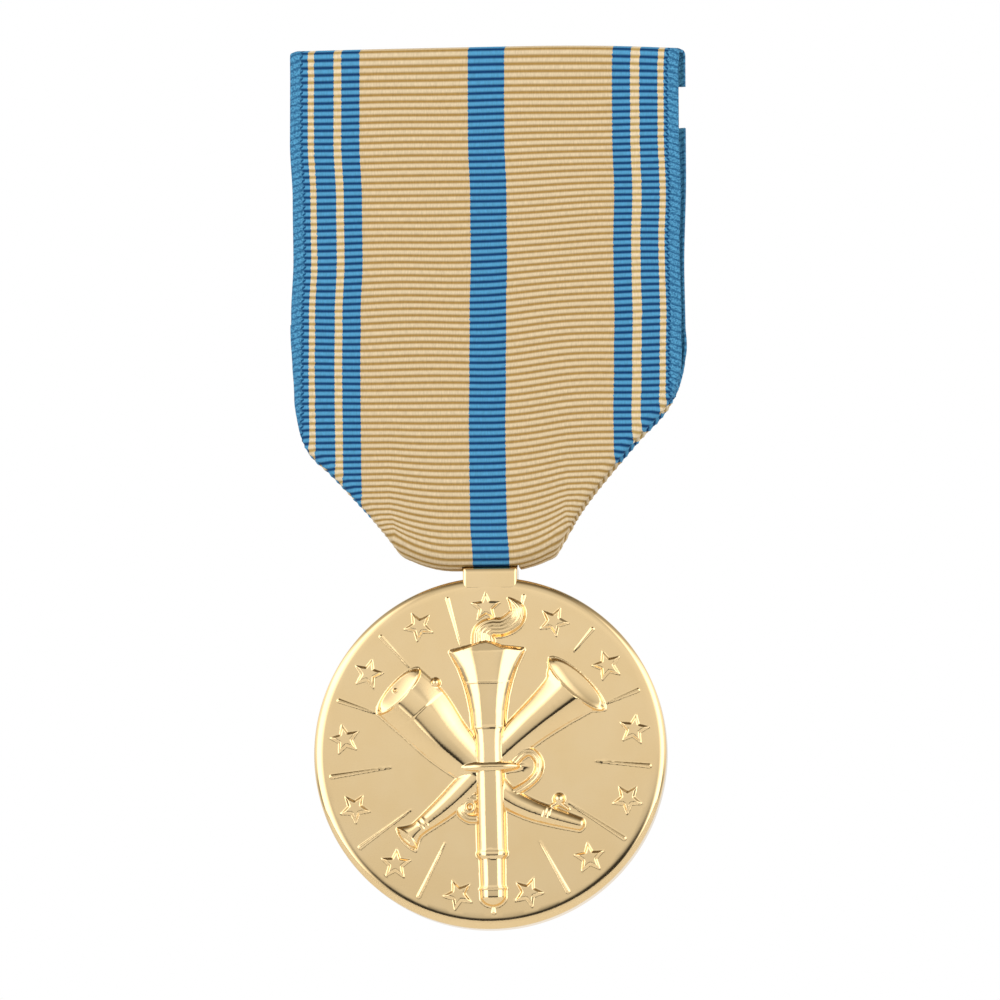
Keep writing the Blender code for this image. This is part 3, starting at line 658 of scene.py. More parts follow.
class Relief:
    """A height map of the struck face, in millimetres above the field. x is right and y is up."""

    def __init__(self):
        count = int(2 * RASTER_HALF / RASTER_STEP) + 1
        self.axis = np.linspace(-RASTER_HALF, RASTER_HALF, count)
        self.height = np.zeros((count, count))

    def around(self, x0, y0, reach):
        """Return the part of the map within a reach of a point."""
        return self.window(x0 - reach, x0 + reach, y0 - reach, y0 + reach)

    def window(self, low_x, high_x, low_y, high_y):
        """Return the slices and the coordinate grids of a part of the map."""
        ix = np.searchsorted(self.axis, [low_x, high_x])
        iy = np.searchsorted(self.axis, [low_y, high_y])
        part = (slice(iy[0], iy[1]), slice(ix[0], ix[1]))
        x, y = np.meshgrid(self.axis[part[1]], self.axis[part[0]])
        return part, x, y

    def raise_to(self, part, height):
        """Keep the higher of the map and the new height."""
        self.height[part] = np.maximum(self.height[part], height)

    def soften(self, sigma):
        """Blur the map a little, as a die's edges wear round."""
        reach = int(3 * sigma / RASTER_STEP) + 1
        weights = np.exp(-0.5 * (np.arange(-reach, reach + 1) * RASTER_STEP / sigma) ** 2)
        weights /= weights.sum()
        for axis in (0, 1):
            total = np.zeros_like(self.height)
            for offset, weight in zip(range(-reach, reach + 1), weights):
                total += weight * np.roll(self.height, offset, axis=axis)
            self.height = total

    def sample(self, x, y):
        """Height and slopes at points of the face, turned as the design is struck."""
        cos, sin = math.cos(RELIEF_TURN), math.sin(RELIEF_TURN)
        rx, ry = cos * x + sin * y, -sin * x + cos * y
        fx, fy = (rx + RASTER_HALF) / RASTER_STEP, (ry + RASTER_HALF) / RASTER_STEP
        ix = np.clip(fx.astype(int), 0, len(self.axis) - 2)
        iy = np.clip(fy.astype(int), 0, len(self.axis) - 2)
        tx, ty = fx - ix, fy - iy
        h = self.height
        h00, h10, h01, h11 = h[iy, ix], h[iy, ix + 1], h[iy + 1, ix], h[iy + 1, ix + 1]
        value = (h00 * (1 - tx) + h10 * tx) * (1 - ty) + (h01 * (1 - tx) + h11 * tx) * ty
        dx = ((h10 - h00) * (1 - ty) + (h11 - h01) * ty) / RASTER_STEP
        dy = ((h01 - h00) * (1 - tx) + (h11 - h10) * tx) / RASTER_STEP
        return value, cos * dx - sin * dy, sin * dx + cos * dy


def section(share):
    """Height share across a tube: level in the middle and upright at the edge."""
    return np.clip(1 - np.abs(share) ** 7, 0, 1) ** 0.5


def arch(share):
    """Height share across a half circle."""
    return np.sqrt(np.clip(1 - share**2, 0, 1))


def foot(gap, height=0.12, width=0.2):
    """The concave foot that spreads from a raised shape's edge over the field."""
    return height * np.clip(1 - gap / width, 0, 1) ** 2


def dome(distance, half_width, height, skirt=0.2, flat=0.32, slope=0.30):
    """A tube's section: a level band, a quick turn to a slope, an upright edge and a foot."""
    gap = np.abs(distance)
    turn = 0.07 * half_width
    fall = slope * turn * np.log1p(np.exp(np.clip((gap - flat * half_width) / turn, -30, 30)))
    raised = np.maximum(height - fall, 0.25 * height) * section(distance / half_width)
    rise = 0.6 * skirt
    return np.where(gap < half_width, rise + raised, foot(gap - half_width, rise, skirt))


def path_fields(x, y, stations, reach, count=90):
    """Distance across and share along a smooth path, with the stations' other values there."""
    curve = spline(stations, count)
    best = np.full(x.shape, 1e9)
    across, share, past = np.zeros(x.shape), np.zeros(x.shape), np.zeros(x.shape)
    values = [np.zeros(x.shape) for _ in range(curve.shape[1] - 2)]
    last = len(curve) - 2
    for index, (start, end) in enumerate(zip(curve, curve[1:])):
        step = end[:2] - start[:2]
        length = math.hypot(*step)
        if length < 1e-9:
            continue
        low, high = np.minimum(start[:2], end[:2]) - reach, np.maximum(start[:2], end[:2]) + reach
        columns = slice(*np.searchsorted(x[0], [low[0], high[0]]))
        rows = slice(*np.searchsorted(y[:, 0], [low[1], high[1]]))
        near = (rows, columns)
        dx, dy = x[near] - start[0], y[near] - start[1]
        along = (dx * step[0] + dy * step[1]) / length
        t = np.clip(along / length, 0, 1)
        gap = np.hypot(dx - t * step[0], dy - t * step[1])
        closer = gap < best[near]
        beyond = np.zeros(gap.shape)
        if index == 0:
            beyond = np.maximum(-along, 0)
        if index == last:
            beyond = np.maximum(along - length, 0)
        found = [(best, gap), (across, (dx * step[1] - dy * step[0]) / length), (past, beyond),
                 (share, (index + t) / (last + 1))]
        found += [(value, first + (second - first) * t)
                  for value, first, second in zip(values, start[2:], end[2:])]
        for grid, value in found:
            grid[near] = np.where(closer, value, grid[near])
    return across, share, past, values


def add_path(relief, stations, strands=0, skirt=0.2, ends=(1.0, 1.0)):
    """Raise a tapered tube along a path. Stations are (x, y, half width, height).

    The ends are half ellipses, and ends gives their lengths as shares of the half width.
    """
    points = np.array(stations)
    reach = points[:, 2].max() + 0.5
    low, high = points.min(axis=0) - reach, points.max(axis=0) + reach
    part, x, y = relief.window(low[0], high[0], low[1], high[1])
    across, share, past, (half_width, height) = path_fields(x, y, stations, reach)
    squeeze = np.where(share < 0.5, *ends)
    distance = np.hypot(across, past / squeeze)
    wide = np.maximum(half_width, NARROWEST)
    raised = np.where(half_width > 0, dome(distance, wide, height, skirt), 0.0)
    if strands:
        wave = np.cos(2 * math.pi * strands * (across / (2 * wide) + 0.5))
        raised = raised - 0.07 * (0.5 + 0.5 * wave) * smooth(0.15, 0.35, raised)
    relief.raise_to(part, raised)
    return part, across, share, past, half_width


def add_ball(relief, x0, y0, radius, height):
    """Raise a round boss."""
    part, x, y = relief.around(x0, y0, radius + 0.4)
    distance = np.hypot(x - x0, y - y0)
    relief.raise_to(part, height * arch(distance / radius) + foot(distance - radius, 0.08, 0.14))


def add_mouth(relief, x0, y0, half_long, half_short, heading, height, fall, reach):
    """The oval end face of a tube. It falls away from the near lip by a share, over a length."""
    part, x, y = relief.around(x0, y0, half_long)
    out = (x - x0) * math.cos(heading) + (y - y0) * math.sin(heading)
    side = (y - y0) * math.cos(heading) - (x - x0) * math.sin(heading)
    ring = np.hypot(out / half_short, side / half_long)
    chord = half_short * arch(side / half_long)
    lip = 0.12 + height * section(side / half_long)
    face = lip * (1 - fall + fall * np.exp(-(out + chord) / reach))
    far_edge = np.where(out > 0, smooth(0.0, 0.16, (1 - ring) * half_short), 1.0)
    near_lip = 0.05 * np.exp(-((out + chord - 0.06) / 0.07) ** 2) * section(side / half_long)
    relief.height[part] = np.where(ring < 1, face * far_edge + near_lip, relief.height[part])


# The torch's half width at each height of the face, and its raised height, from the bowl down.
TORCH_OUTLINE = [
    (9.05, 3.34), (8.6, 3.12), (7.6, 2.62), (6.2, 2.12), (5.0, 1.82), (3.6, 1.58), (2.5, 1.50),
    (2.1, 1.44), (1.6, 1.28), (0.5, 1.20), (-1.2, 1.20), (-2.4, 1.24), (-5.0, 1.25),
    (-8.8, 1.24), (-9.7, 1.06), (-12.0, 1.02), (-12.3, 1.10), (-13.0, 1.08), (-14.0, 1.08),
]
TORCH_RAISED = [
    (10.0, 0.62), (9.0, 0.84), (6.2, 0.82), (2.1, 0.76), (-1.5, 0.78), (-9.0, 0.66), (-13.5, 0.58),
]
# Bands round the torch, as (height of the face, half length, extra half width, extra height).
TORCH_BANDS = [
    (6.2, 0.07, 0.02, 0.025), (2.15, 0.08, 0.03, 0.03), (-9.25, 0.30, 0.16, 0.07),
    (-12.3, 0.10, 0.06, 0.04),
]
# The low pointed cap of the bowl, from left to right, as (x, y).
TORCH_CAP = [
    (-3.45, 9.18), (-1.6, 9.62), (-0.55, 9.98), (0.0, 10.05), (0.5, 9.9), (1.3, 9.5), (3.4, 9.2),
]
# Where the rounded lower end begins, and how long it is.
TORCH_TAIL = -13.0
TAIL_LENGTH = 0.85
# Half sizes and middle of the collar ring.
COLLAR = (2.66, 0.44)
COLLAR_Y = -1.40


def add_torch(relief):
    """The torch: flared bowl with a low pointed cap, bands, shaft, collar ring and rounded end."""
    part, x, y = relief.window(-4.2, 4.2, -14.6, 10.6)
    width = np.interp(y, *np.array(TORCH_OUTLINE)[::-1].T)
    height = np.interp(y, *np.array(TORCH_RAISED)[::-1].T)
    for centre, half, wider, higher in TORCH_BANDS:
        ring = np.exp(-(((y - centre) / half) ** 4))
        width, height = width + wider * ring, height + higher * ring
    past = np.maximum(TORCH_TAIL - y, 0) / TAIL_LENGTH
    tail = arch(past)
    top = np.interp(x, *np.array(TORCH_CAP).T)
    cut = np.clip((top - y) / 0.22, 0, 1) ** 0.5
    body = dome(x, np.maximum(width * tail, NARROWEST), height * tail * cut, flat=0.45, slope=0.34)
    body = np.where((y < top) & (y > TORCH_TAIL - TAIL_LENGTH), body, 0.0)
    cap_foot = foot(y - top) * (np.abs(x) < 3.4) * (y >= top)
    tail_foot = foot((np.hypot(x / 1.08, past) - 1) * 0.9) * (y < TORCH_TAIL)
    relief.raise_to(part, np.maximum(np.maximum(body, cap_foot), tail_foot))

    ring = np.hypot(x / COLLAR[0], (y - COLLAR_Y) / COLLAR[1])
    bulge = (0.62 + 0.42 * arch(ring)) * (0.55 + 0.45 * arch(x / COLLAR[0]))
    relief.raise_to(part, np.maximum(np.where(ring < 1, bulge, 0.0), foot((ring - 1) * 0.46)))


def add_flame(relief):
    """The flame: strands that sweep to the right and curl up to a tip."""
    add_path(relief, [
        (-0.30, 10.0, 1.02, 0.40), (-0.25, 10.8, 0.92, 0.42), (0.42, 11.22, 0.82, 0.46),
        (1.50, 11.26, 0.80, 0.48), (2.50, 11.84, 0.84, 0.46), (2.86, 12.68, 0.66, 0.40),
        (2.50, 13.34, 0.34, 0.30), (2.08, 13.80, 0.06, 0.10),
    ], strands=5, skirt=0.14)


def add_powder_horn(relief):
    """The powder horn, with its collar, its mouth and two small ring bosses."""
    part, across, share, past, half_width = add_path(relief, [
        (-8.05, 5.75, 2.72, 0.66), (-6.1, 3.85, 2.66, 0.66), (-3.9, 1.15, 2.2, 0.60),
        (-1.0, -1.75, 1.55, 0.42), (1.2, -3.95, 1.0, 0.36), (3.4, -5.25, 0.86, 0.36),
        (5.6, -6.05, 0.74, 0.34), (7.9, -6.8, 0.52, 0.28),
    ], ends=(0.32, 0.8))
    tube = smooth(0.12, 0.3, relief.height[part]) * (np.abs(across) < half_width)
    collar = smooth(0.150, 0.142, share) * (past < 0.05)
    relief.height[part] += 0.05 * collar * tube
    for centre, width in ((0.805, 0.008), (0.83, 0.004)):
        relief.height[part] += 0.05 * np.exp(-(((share - centre) / width) ** 2)) * tube
    add_mouth(relief, -8.05, 5.75, 2.72, 0.87, math.radians(136), 0.66, 0.45, 1.6)
    add_ball(relief, -8.35, 5.75, 0.26, 0.78)
    add_ball(relief, -4.72, 6.38, 0.42, 0.42)
    add_path(relief, [(-4.95, 6.0, 0.14, 0.2), (-5.2, 5.6, 0.14, 0.2)], skirt=0.1)
    add_ball(relief, 6.14, -4.48, 0.50, 0.46)
    hook = [(5.5, -5.1, 0.2, 0.25), (6.1, -4.9, 0.2, 0.25), (6.9, -5.4, 0.1, 0.15)]
    add_path(relief, hook, skirt=0.1)


def add_bugle(relief):
    """The bugle, with its bell, its mouthpiece and its cord."""
    part, across, share, _, half_width = add_path(relief, [
        (8.0, 5.85, 3.38, 0.60), (7.5, 5.35, 2.75, 0.62), (6.9, 4.75, 2.30, 0.62),
        (5.6, 3.7, 1.95, 0.60), (3.4, 1.95, 1.60, 0.54), (0.0, -1.0, 1.22, 0.40),
        (-3.7, -4.5, 0.98, 0.40), (-6.2, -6.45, 0.66, 0.36), (-6.9, -7.0, 0.70, 0.36),
        (-7.65, -7.6, 1.25, 0.36),
    ], ends=(0.29, 0.30))
    tube = smooth(0.12, 0.3, relief.height[part]) * (np.abs(across) < half_width)
    for centre in (0.76, 0.785):
        relief.height[part] += 0.05 * np.exp(-(((share - centre) / 0.006) ** 2)) * tube
    add_mouth(relief, 8.0, 5.85, 3.38, 0.98, math.radians(45), 0.52, 0.75, 0.9)
    add_mouth(relief, -7.65, -7.6, 1.25, 0.38, math.radians(222), 0.36, 0.5, 0.4)
    loop = [(2.3, -0.95), (3.0, -0.30), (3.75, -0.18), (4.40, -1.03), (4.25, -2.12),
            (3.44, -2.98), (2.3, -3.65), (1.0, -4.3)]
    curl = [(-1.3, -4.1), (-2.1, -4.05), (-2.68, -4.6), (-2.68, -5.4), (-2.0, -5.95), (-1.2, -6.0)]
    for line in (loop, curl):
        add_path(relief, [(x, y, 0.36, 0.28) for x, y in line], strands=2, skirt=0.12)
    ring = [(-1.88 + 0.42 * math.cos(t), -4.9 + 0.45 * math.sin(t), 0.19, 0.24)
            for t in np.radians(np.linspace(0, 360, 13))]
    add_path(relief, ring, skirt=0.1)


def star_distance(x, y, radius):
    """Signed distance from a five-pointed star with one point up, negative inside."""
    tip, k1, k2 = 0.46, (0.809017, -0.587785), (-0.809017, -0.587785)
    x = np.abs(x)
    for kx, ky in (k1, k2):
        dot = np.maximum(kx * x + ky * y, 0)
        x, y = x - 2 * dot * kx, y - 2 * dot * ky
    x = np.abs(x)
    y = y - radius
    bx, by = tip * -k1[1], tip * k1[0] - 1
    t = np.clip((x * bx + y * by) / (bx * bx + by * by), 0, radius)
    return np.hypot(x - bx * t, y - by * t) * np.sign(y * bx - x * by)


# Where each ray ends towards the middle, from the one left of the top star round to the left.
RAY_INNER = (10.0, 10.6, 11.0, 9.0, 8.8, 9.1, 13.6, 9.3, 8.5, 9.6, 11.35, 11.8, 13.15)


def add_stars_and_rays(relief):
    """Thirteen bevelled stars round the edge, with a thin ray midway between each pair."""
    for index in range(STAR_COUNT):
        turn = 2 * math.pi * index / STAR_COUNT
        cx, cy = -STAR_RING * math.sin(turn), STAR_RING * math.cos(turn)
        part, x, y = relief.around(cx, cy, 1.8)
        lx = (x - cx) * math.cos(turn) + (y - cy) * math.sin(turn)
        ly = -(x - cx) * math.sin(turn) + (y - cy) * math.cos(turn)
        gap = star_distance(lx, ly, STAR_RADIUS)
        relief.raise_to(part, STAR_HEIGHT * smooth(0.02, -STAR_BEVEL, gap))
        turn += math.pi / STAR_COUNT
        out_x, out_y = -math.sin(turn), math.cos(turn)
        middle = (RAY_OUTER + RAY_INNER[index]) / 2
        reach = (RAY_OUTER - RAY_INNER[index]) / 2 + 0.4
        part, x, y = relief.around(middle * out_x, middle * out_y, reach)
        along = x * out_x + y * out_y
        across = y * out_x - x * out_y
        share = np.clip((along - RAY_INNER[index]) / (RAY_OUTER - RAY_INNER[index]), 0, 1)
        width = 0.10 + 0.10 * share**1.5
        beyond = np.maximum(along - RAY_OUTER, 0) + np.maximum(RAY_INNER[index] - along, 0)
        distance = np.hypot(across, beyond)
        relief.raise_to(part, (0.02 + 0.07 * share) * smooth(width, width * 0.2, distance))


def make_front_relief():
    """The whole design of the front."""
    relief = Relief()
    add_stars_and_rays(relief)
    add_bugle(relief)
    add_powder_horn(relief)
    add_flame(relief)
    add_torch(relief)
    relief.soften(WEAR)
    return relief


ROOT_CELLS = 32
DEEPEST = 4
FINEST = ROOT_CELLS * 2**DEEPEST
RIM_LEVEL = 2
# A cell is split where a flat one would miss the relief by more than this.
FACE_TOLERANCE = 0.006
BACK_TOLERANCE = 0.008


def on_disc(i, j, radius):
    """Map the square grid's node (i, j) to the disc, so that its border is the disc's edge."""
    u, v = 2 * i / FINEST - 1, 2 * j / FINEST - 1
    return radius * u * np.sqrt(1 - v * v / 2), radius * v * np.sqrt(1 - u * u / 2)


def doubled(cells):
    """Give each cell's value to the four cells that it splits into."""
    return np.repeat(np.repeat(cells, 2, axis=0), 2, axis=1)


def grid_splits(relief, radius, tolerance):
    """Decide which cells of each level are split: those where a flat cell would miss the relief."""
    splits = []
    for level in range(DEEPEST):
        count = ROOT_CELLS * 2**level
        size = FINEST // count
        i, j = np.meshgrid(np.arange(count) * size, np.arange(count) * size, indexing="ij")
        t = np.linspace(0, 1, 5)
        px = i[..., None, None] + t[:, None] * size
        py = j[..., None, None] + t[None, :] * size
        x, y = on_disc(*np.broadcast_arrays(px, py), radius)
        h, _, _ = relief.sample(x, y)
        sides = h[..., :1, :] * (1 - t[:, None]) + h[..., -1:, :] * t[:, None]
        flat = sides[..., :1] * (1 - t) + sides[..., -1:] * t
        split = np.abs(h - flat).max(axis=(2, 3)) > tolerance
        if level < RIM_LEVEL:
            split[0, :] = split[-1, :] = split[:, 0] = split[:, -1] = True
        splits.append(split)
    for level in range(1, DEEPEST):
        splits[level] &= doubled(splits[level - 1])
    for level in range(DEEPEST - 1, 0, -1):
        wide = np.pad(splits[level], 1)
        near = np.zeros_like(splits[level])
        for di in (0, 1, 2):
            for dj in (0, 1, 2):
                near |= wide[di:di + near.shape[0], dj:dj + near.shape[1]]
        half = near.shape[0] // 2
        splits[level - 1] |= near.reshape(half, 2, half, 2).any(axis=(1, 3))
    return splits


def relief_sheet(relief, radius, tolerance):
    """Return the face's nodes, heights, slopes and faces, and its border nodes in order."""
    splits = grid_splits(relief, radius, tolerance)
    number = np.full((FINEST + 1, FINEST + 1), -1)
    nodes, faces = [], []

    def vertex(i, j):
        if number[i, j] < 0:
            number[i, j] = len(nodes)
            nodes.append((i, j))
        return int(number[i, j])

    for level in range(DEEPEST + 1):
        count = ROOT_CELLS * 2**level
        size = FINEST // count
        alive = np.ones((count, count), dtype=bool)
        if level:
            alive = doubled(splits[level - 1])
        finer = splits[level] if level < DEEPEST else np.zeros((count, count), dtype=bool)
        leaf = alive & ~finer
        wide = np.pad(finer, 1)
        for ci, cj in zip(*np.nonzero(leaf)):
            i, j, half = int(ci) * size, int(cj) * size, size // 2
            loop = []
            # Each corner, then the middle of the side after it if that side's neighbour is split.
            for corner_i, corner_j, middle_i, middle_j, side_i, side_j in (
                (0, 0, half, 0, 1, 0), (size, 0, size, half, 2, 1),
                (size, size, half, size, 1, 2), (0, size, 0, half, 0, 1),
            ):
                loop.append(vertex(i + corner_i, j + corner_j))
                if wide[ci + side_i, cj + side_j]:
                    loop.append(vertex(i + middle_i, j + middle_j))
            faces.append(loop)
    grid = np.array(nodes)
    x, y = on_disc(grid[:, 0], grid[:, 1], radius)
    height, slope_x, slope_y = relief.sample(x, y)
    border = np.concatenate([number[:-1, 0], number[-1, :-1], number[:0:-1, -1], number[0, :0:-1]])
    return x, y, height, slope_x, slope_y, faces, border[border >= 0].tolist()


DISC_THICKNESS = 2.6
EDGE_WIDTH = 0.50
EDGE_DEPTH = 0.44
EDGE_EASE = 0.55
EDGE_TILT = 0.20
BACK_EDGE_RADIUS = 0.3
BACK_LAND = 0.9
BACK_STEP = 0.32
BACK_SLOPE = 0.30
LEAF_RING = 10.6
LEAVES = 11


def make_medallion(material):
    """The struck disc: relief face, rounded rim and a back with a raised border."""
    low, high = node_box("medallion")
    radius = (high.x - low.x) / 2
    centre_z = low.z + radius
    back_y = high.y
    front_y = back_y - DISC_THICKNESS
    flat_radius = radius - EDGE_WIDTH
    x, y, height, slope_x, slope_y, faces, border = relief_sheet(
        make_front_relief(), flat_radius, FACE_TOLERANCE)
    from_centre = np.hypot(x, y)
    ease = np.clip((from_centre - flat_radius + EDGE_EASE) / EDGE_EASE, 0, 1)
    drop = EDGE_TILT * EDGE_EASE * ease**2 / 2
    tilt = EDGE_TILT * ease / np.maximum(from_centre, 1.0)
    points = [np.stack([x, front_y - height + drop, y + centre_z], axis=1)]
    normals = [np.stack([tilt * x - slope_x, -np.ones_like(x), tilt * y - slope_y], axis=1)]

    begin = math.atan(EDGE_TILT * EDGE_WIDTH / EDGE_DEPTH)
    fall = EDGE_DEPTH - EDGE_TILT * EDGE_EASE / 2
    profile = []
    for t in np.linspace(begin, math.pi / 2, 12)[1:]:
        out = EDGE_WIDTH * (math.sin(t) - math.sin(begin)) / (1 - math.sin(begin))
        down = fall * (math.cos(begin) - math.cos(t)) / math.cos(begin)
        profile.append((flat_radius + out, front_y + EDGE_TILT * EDGE_EASE / 2 + down,
                        fall * math.sin(t), -EDGE_WIDTH * math.cos(t)))
    for t in np.radians(np.linspace(0, 90, 7)):
        profile.append((radius - BACK_EDGE_RADIUS * (1 - math.cos(t)),
                        back_y - BACK_EDGE_RADIUS * (1 - math.sin(t)), math.cos(t), math.sin(t)))
    land = radius - BACK_EDGE_RADIUS - BACK_LAND
    under = back_y - BACK_STEP - 0.1
    profile += [(land, back_y, 0.0, 1.0), (land - 0.06, back_y - 0.02, -0.5, 0.86),
                (land - BACK_SLOPE, back_y - BACK_STEP, -0.5, 0.86), (land - 0.4, under, 0.0, 1.0),
                (land * 0.5, under, 0.0, 1.0), (0.4, under, 0.0, 1.0)]
    angles = np.arctan2(y[border], x[border])
    cos, sin = np.cos(angles), np.sin(angles)
    ring = border
    total = len(x)
    count = len(border)
    for ring_radius, ring_y, out, back in profile:
        points.append(np.stack(
            [ring_radius * cos, np.full(count, ring_y), ring_radius * sin + centre_z], axis=1))
        normals.append(np.stack([out * cos, np.full(count, back), out * sin], axis=1))
        new_ring = list(range(total, total + count))
        total += count
        for k in range(count):
            after = (k + 1) % count
            faces.append((ring[k], new_ring[k], new_ring[after], ring[after]))
        ring = new_ring
    faces.append(tuple(ring[::-1]))
    medallion = make_piece("struck_medallion", np.concatenate(points), faces,
                           "medallion", material)
    set_normals(medallion, np.concatenate(normals))
    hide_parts("medallion")


def make_back_relief():
    """A plain ring and a wreath of two laurel branches, tied at the bottom."""
    relief = Relief()
    for side in (-1, 1):
        stem = [(side * LEAF_RING * math.sin(t), -LEAF_RING * math.cos(t), 0.13, 0.10)
                for t in np.radians(np.linspace(-8, 158, 24))]
        add_path(relief, stem, skirt=0.08)
        for index in range(LEAVES):
            turn = math.radians(12 + index * 13.4)
            x0, y0 = side * LEAF_RING * math.sin(turn), -LEAF_RING * math.cos(turn)
            for spread, length in ((-0.55, 2.5), (0.55, 2.5), (0.0, 2.2)):
                heading = turn + spread
                dx, dy = side * math.cos(heading), math.sin(heading)
                leaf = [(x0 + share * length * dx, y0 + share * length * dy, width, 0.17)
                        for share, width in ((0.08, 0.10), (0.45, 0.46), (0.75, 0.36), (1.0, 0.04))]
                part, across, share, past, half_width = add_path(relief, leaf, skirt=0.1)
                vein = np.exp(-((across / 0.06) ** 2)) * (half_width > 0.05) * (past < 0.01)
                relief.height[part] -= 0.05 * vein * smooth(0.1, 0.16, relief.height[part])
    for turn in np.radians([20, 70, 110, 160]):
        bow = [(share * 1.6 * math.cos(turn), -LEAF_RING + share * math.sin(turn), width, 0.18)
               for share, width in ((0.0, 0.2), (0.6, 0.36), (1.0, 0.2))]
        add_path(relief, bow, skirt=0.1)
    add_ball(relief, 0.0, -LEAF_RING, 0.42, 0.2)
    edge = np.hypot(*np.meshgrid(relief.axis, relief.axis)) - 13.75
    relief.height = np.maximum(relief.height, 0.12 * smooth(0.16, 0.04, np.abs(edge)))
    relief.soften(WEAR)
    return relief


def make_reverse(material):
    """The sunk field of the back, with its low relief."""
    low, high = node_box("medallion")
    radius = (high.x - low.x) / 2
    inner = radius - BACK_EDGE_RADIUS - BACK_LAND - BACK_SLOPE + 0.02
    x, y, height, slope_x, slope_y, faces, _ = relief_sheet(
        make_back_relief(), inner, BACK_TOLERANCE)
    points = np.stack([-x, high.y - BACK_STEP + height, y + low.z + radius], axis=1)
    normals = np.stack([slope_x, np.ones_like(x), -slope_y], axis=1)
    reverse = make_piece("struck_reverse", points, faces, "medallion", material)
    set_normals(reverse, normals)


LUG_SEGMENTS = 96
# Sections of the lug, up from the bar's axis, as (height, half depth, half width). The shoulder is
# flush with the disc's faces and its top is cupped. The neck and the knuckle are round the bar.
LUG_SHOULDER = [
    (-3.60, 0.90, 2.40), (-3.48, 1.25, 2.46), (-3.42, 1.296, 2.46), (-3.38, 1.296, 2.46),
    (-2.20, 1.296, 2.46), (-2.05, 1.292, 2.46), (-1.74, 1.27, 2.46), (-1.64, 1.21, 2.46),
    (-1.58, 1.10, 2.45), (-1.57, 0.98, 2.44),
]
LUG_KNUCKLE = [
    (-1.62, 0.84, 2.42), (-1.70, 0.56, 2.41), (-1.72, 0.40, 2.40), (-1.68, 0.28, 2.40),
    (-1.60, 0.25, 2.42), (-1.20, 0.25, 2.46), (-0.96, 0.28, 2.46), (-0.80, 0.60, 2.46),
    (-0.50, 0.87, 2.46), (0.0, 1.0, 2.46), (0.50, 0.87, 2.46), (0.80, 0.60, 2.46),
    (0.96, 0.26, 2.46), (1.0, 0.05, 2.44),
]


def make_lug(material):
    """The lug: a shoulder on the disc, which narrows in a cupped top to the knuckle."""
    body_y = node_box("medallion")[1].y - DISC_THICKNESS / 2 - HANGER.y
    sections = [(body_y, *section) for section in LUG_SHOULDER]
    sections += [(0.0, *section) for section in LUG_KNUCKLE]
    turn = 2 * np.pi * np.arange(LUG_SEGMENTS) / LUG_SEGMENTS
    across = np.copysign(np.abs(np.cos(turn)) ** 0.13, np.cos(turn))
    deep = np.copysign(np.abs(np.sin(turn)) ** 0.15, np.sin(turn))
    points, faces = [], []
    for middle, dz, half_depth, width in sections:
        points += [(HANGER.x + width * x, HANGER.y + middle + half_depth * y, HANGER.z + dz)
                   for x, y in zip(across, deep)]
    for low in range(0, (len(sections) - 1) * LUG_SEGMENTS, LUG_SEGMENTS):
        for k in range(LUG_SEGMENTS):
            after = (k + 1) % LUG_SEGMENTS
            faces.append((low + k, low + after, low + LUG_SEGMENTS + after, low + LUG_SEGMENTS + k))
    faces.append(tuple(range(LUG_SEGMENTS))[::-1])
    faces.append(tuple(range(len(points) - LUG_SEGMENTS, len(points))))
    make_piece("medallion_lug", points, faces, "medallion", material)


# --- Stage, light and camera ---------------------------------------------------------------

CAMERA_AZIMUTH = math.radians(4.5)
CAMERA_ELEVATION = math.radians(-9.0)
CAMERA_LENS = 200.0
VIEW_WIDTH = 90.4
TARGET_SHIFT = Vector((0.90, -1.8, -1.47))
# How bright the side boxes look in reflections.
SIDE_BOX = 2.2
# In metres: how far the floor is below the medal, and half of its side.
FLOOR_DROP = 0.130
FLOOR_HALF_SIDE = 0.75
FLOOR_GREY = 0.66


def make_camera():
    """A long lens a little to the right of the medal and below it."""
    data = bpy.data.cameras.new("camera")
    data.lens = CAMERA_LENS
    data.clip_start, data.clip_end = 0.01, 20.0
    camera = add_object("camera", data)
    target = CENTRE + TARGET_SHIFT * MM
    level = math.cos(CAMERA_ELEVATION)
    back = Vector((math.sin(CAMERA_AZIMUTH) * level, -math.cos(CAMERA_AZIMUTH) * level,
                   math.sin(CAMERA_ELEVATION)))
    camera.location = target + back * (VIEW_WIDTH * MM * CAMERA_LENS / data.sensor_width)
    camera.rotation_euler = (-back).to_track_quat("-Z", "Y").to_euler()
    bpy.context.scene.camera = camera


def make_softbox(name, offset, width, height, power):
    """A soft rectangular lamp at an offset from the medal, pointed at it. Sizes are in metres."""
    data = bpy.data.lights.new(name, "AREA")
    data.shape = "RECTANGLE"
    data.size, data.size_y = width, height
    data.energy = power
    lamp = add_object(name, data)
    lamp.location = CENTRE + Vector(offset)
    lamp.rotation_euler = (CENTRE - lamp.location).to_track_quat("-Z", "Y").to_euler()
    lamp.visible_glossy = False


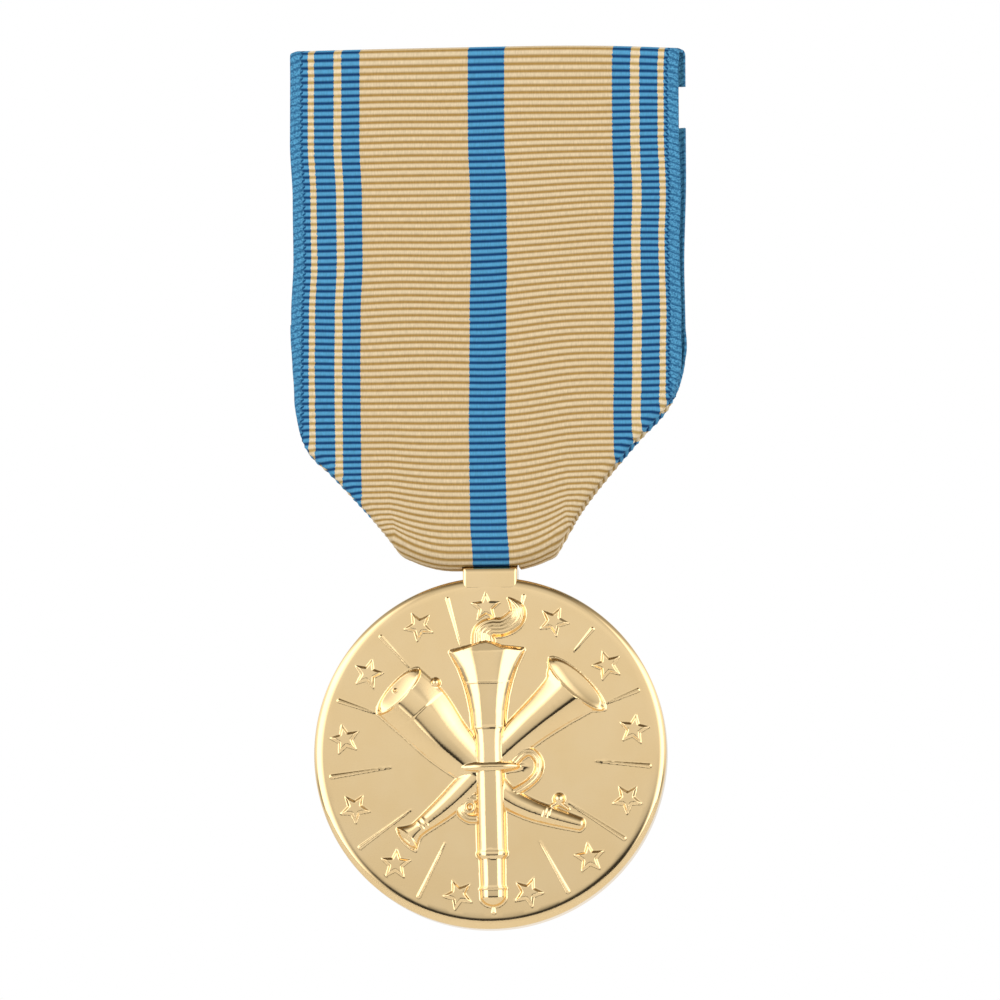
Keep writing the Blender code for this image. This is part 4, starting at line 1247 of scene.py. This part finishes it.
def make_world():
    """White for the camera. Reflections see tall side boxes, a dim ceiling and a dark gap."""
    world = bpy.data.worlds.new("surroundings")
    bpy.context.scene.world = world
    nodes = Nodes(world)
    x, y, z = nodes.split(nodes.add("ShaderNodeTexCoord").outputs["Generated"])

    def levels(value, low, stops):
        """Greys or colours along a value that runs from low to 1."""
        return nodes.ramp(nodes.span(value, low, 1.0), [
            ((at - low) / (1.0 - low), colour if len(colour) == 3 else colour * 3)
            for at, *colour in stops])

    height = levels(z, -1.0, [
        (-1.0, 0.8), (-0.235, 0.8), (-0.205, 0.04), (-0.06, 0.04), (0.03, 0.6), (0.12, 0.84),
        (0.30, 0.92), (0.52, 0.62), (0.72, 0.30, 0.27, 0.22), (0.92, 0.14, 0.12, 0.09),
        (1.0, 0.12, 0.10, 0.08),
    ])
    sides = levels(nodes.math("ABSOLUTE", x), 0.0, [
        (0.0, 0.0), (0.24, 0.0), (0.42, 1.0), (0.80, 1.0), (0.90, 0.25), (1.0, 0.15)])
    band = levels(z, -1.0, [
        (-1.0, 0.0), (-0.5, 0.3), (-0.2, 1.0), (0.45, 1.0), (0.70, 0.2), (1.0, 0.0)])
    lit = nodes.mix(nodes.mix(1.0, sides, band, "MULTIPLY"), height, (SIDE_BOX,) * 3)
    rear = levels(y, -1.0, [(-1.0, 0.0), (0.0, 0.0), (0.35, 1.0), (1.0, 1.0)])
    behind = levels(z, -1.0, [
        (-1.0, 0.8), (-0.2, 0.95), (0.1, 0.8), (0.4, 1.05), (0.7, 0.45), (1.0, 0.15)])
    seen = nodes.add("ShaderNodeLightPath").outputs["Is Camera Ray"]
    nodes.shade("Color", nodes.mix(seen, nodes.mix(rear, lit, behind), (1.0, 1.0, 1.0)))
    nodes.set(Strength=1.0)


def make_stage():
    """A plain pale floor under the medal, which hangs clear of it."""
    mesh = bpy.data.meshes.new("floor")
    side, floor_z = FLOOR_HALF_SIDE, cad_box[0][2] - FLOOR_DROP
    corners = [(-side, -side), (side, -side), (side, side), (-side, side)]
    mesh.from_pydata([(x, y, floor_z) for x, y in corners], [], [(0, 1, 2, 3)])
    nodes = Nodes(bpy.data.materials.new("pale_floor"))
    grey = (*[FLOOR_GREY] * 3, 1.0)
    nodes.set(Roughness=0.8, Base_Color=grey, Emission_Color=grey, Emission_Strength=0.28)
    mesh.materials.append(nodes.owner)
    add_object("floor", mesh)


bpy.context.scene.view_settings.view_transform = "Standard"
make_camera()
make_stage()
make_world()
# A key above, one softbox at each side and one behind.
make_softbox("key", (-0.15, -0.40, 0.45), 0.40, 0.25, 1.0)
make_softbox("left", (-0.55, -0.28, 0.05), 0.18, 0.50, 0.25)
make_softbox("right", (0.52, -0.32, 0.08), 0.12, 0.45, 0.25)
make_softbox("rear", (0.25, 0.55, 0.40), 0.40, 0.30, 1.6)

gilt = metal_material("gilt_bronze", (0.93, 0.70, 0.385), (0.915, 0.675, 0.355), 0.07, 0.04, 0.04)
brass = metal_material("brooch_brass", (0.62, 0.44, 0.19), (0.54, 0.37, 0.15), 0.26, 0.25, 0.35)
steel = metal_material("pin_steel", (0.66, 0.65, 0.62), (0.55, 0.54, 0.52), 0.20, 0.15, 0.30)
cotton = thread_material()
make_ribbon(ribbon_material())
make_medallion(gilt)
make_reverse(gilt)
make_lug(gilt)

for material, nodes in (
    (brass, ("hanger_bar", "brooch_plate", "hinge_bracket", "hinge_rivet",
             "catch_base", "catch_lock")),
    (steel, ("pin_stem",)),
    (cotton, ("top_seam_thread", "rear_seam_thread", "left_corner_tack", "right_corner_tack")),
):
    for node in nodes:
        frame["nodes"][node].material_slots[0].material = material
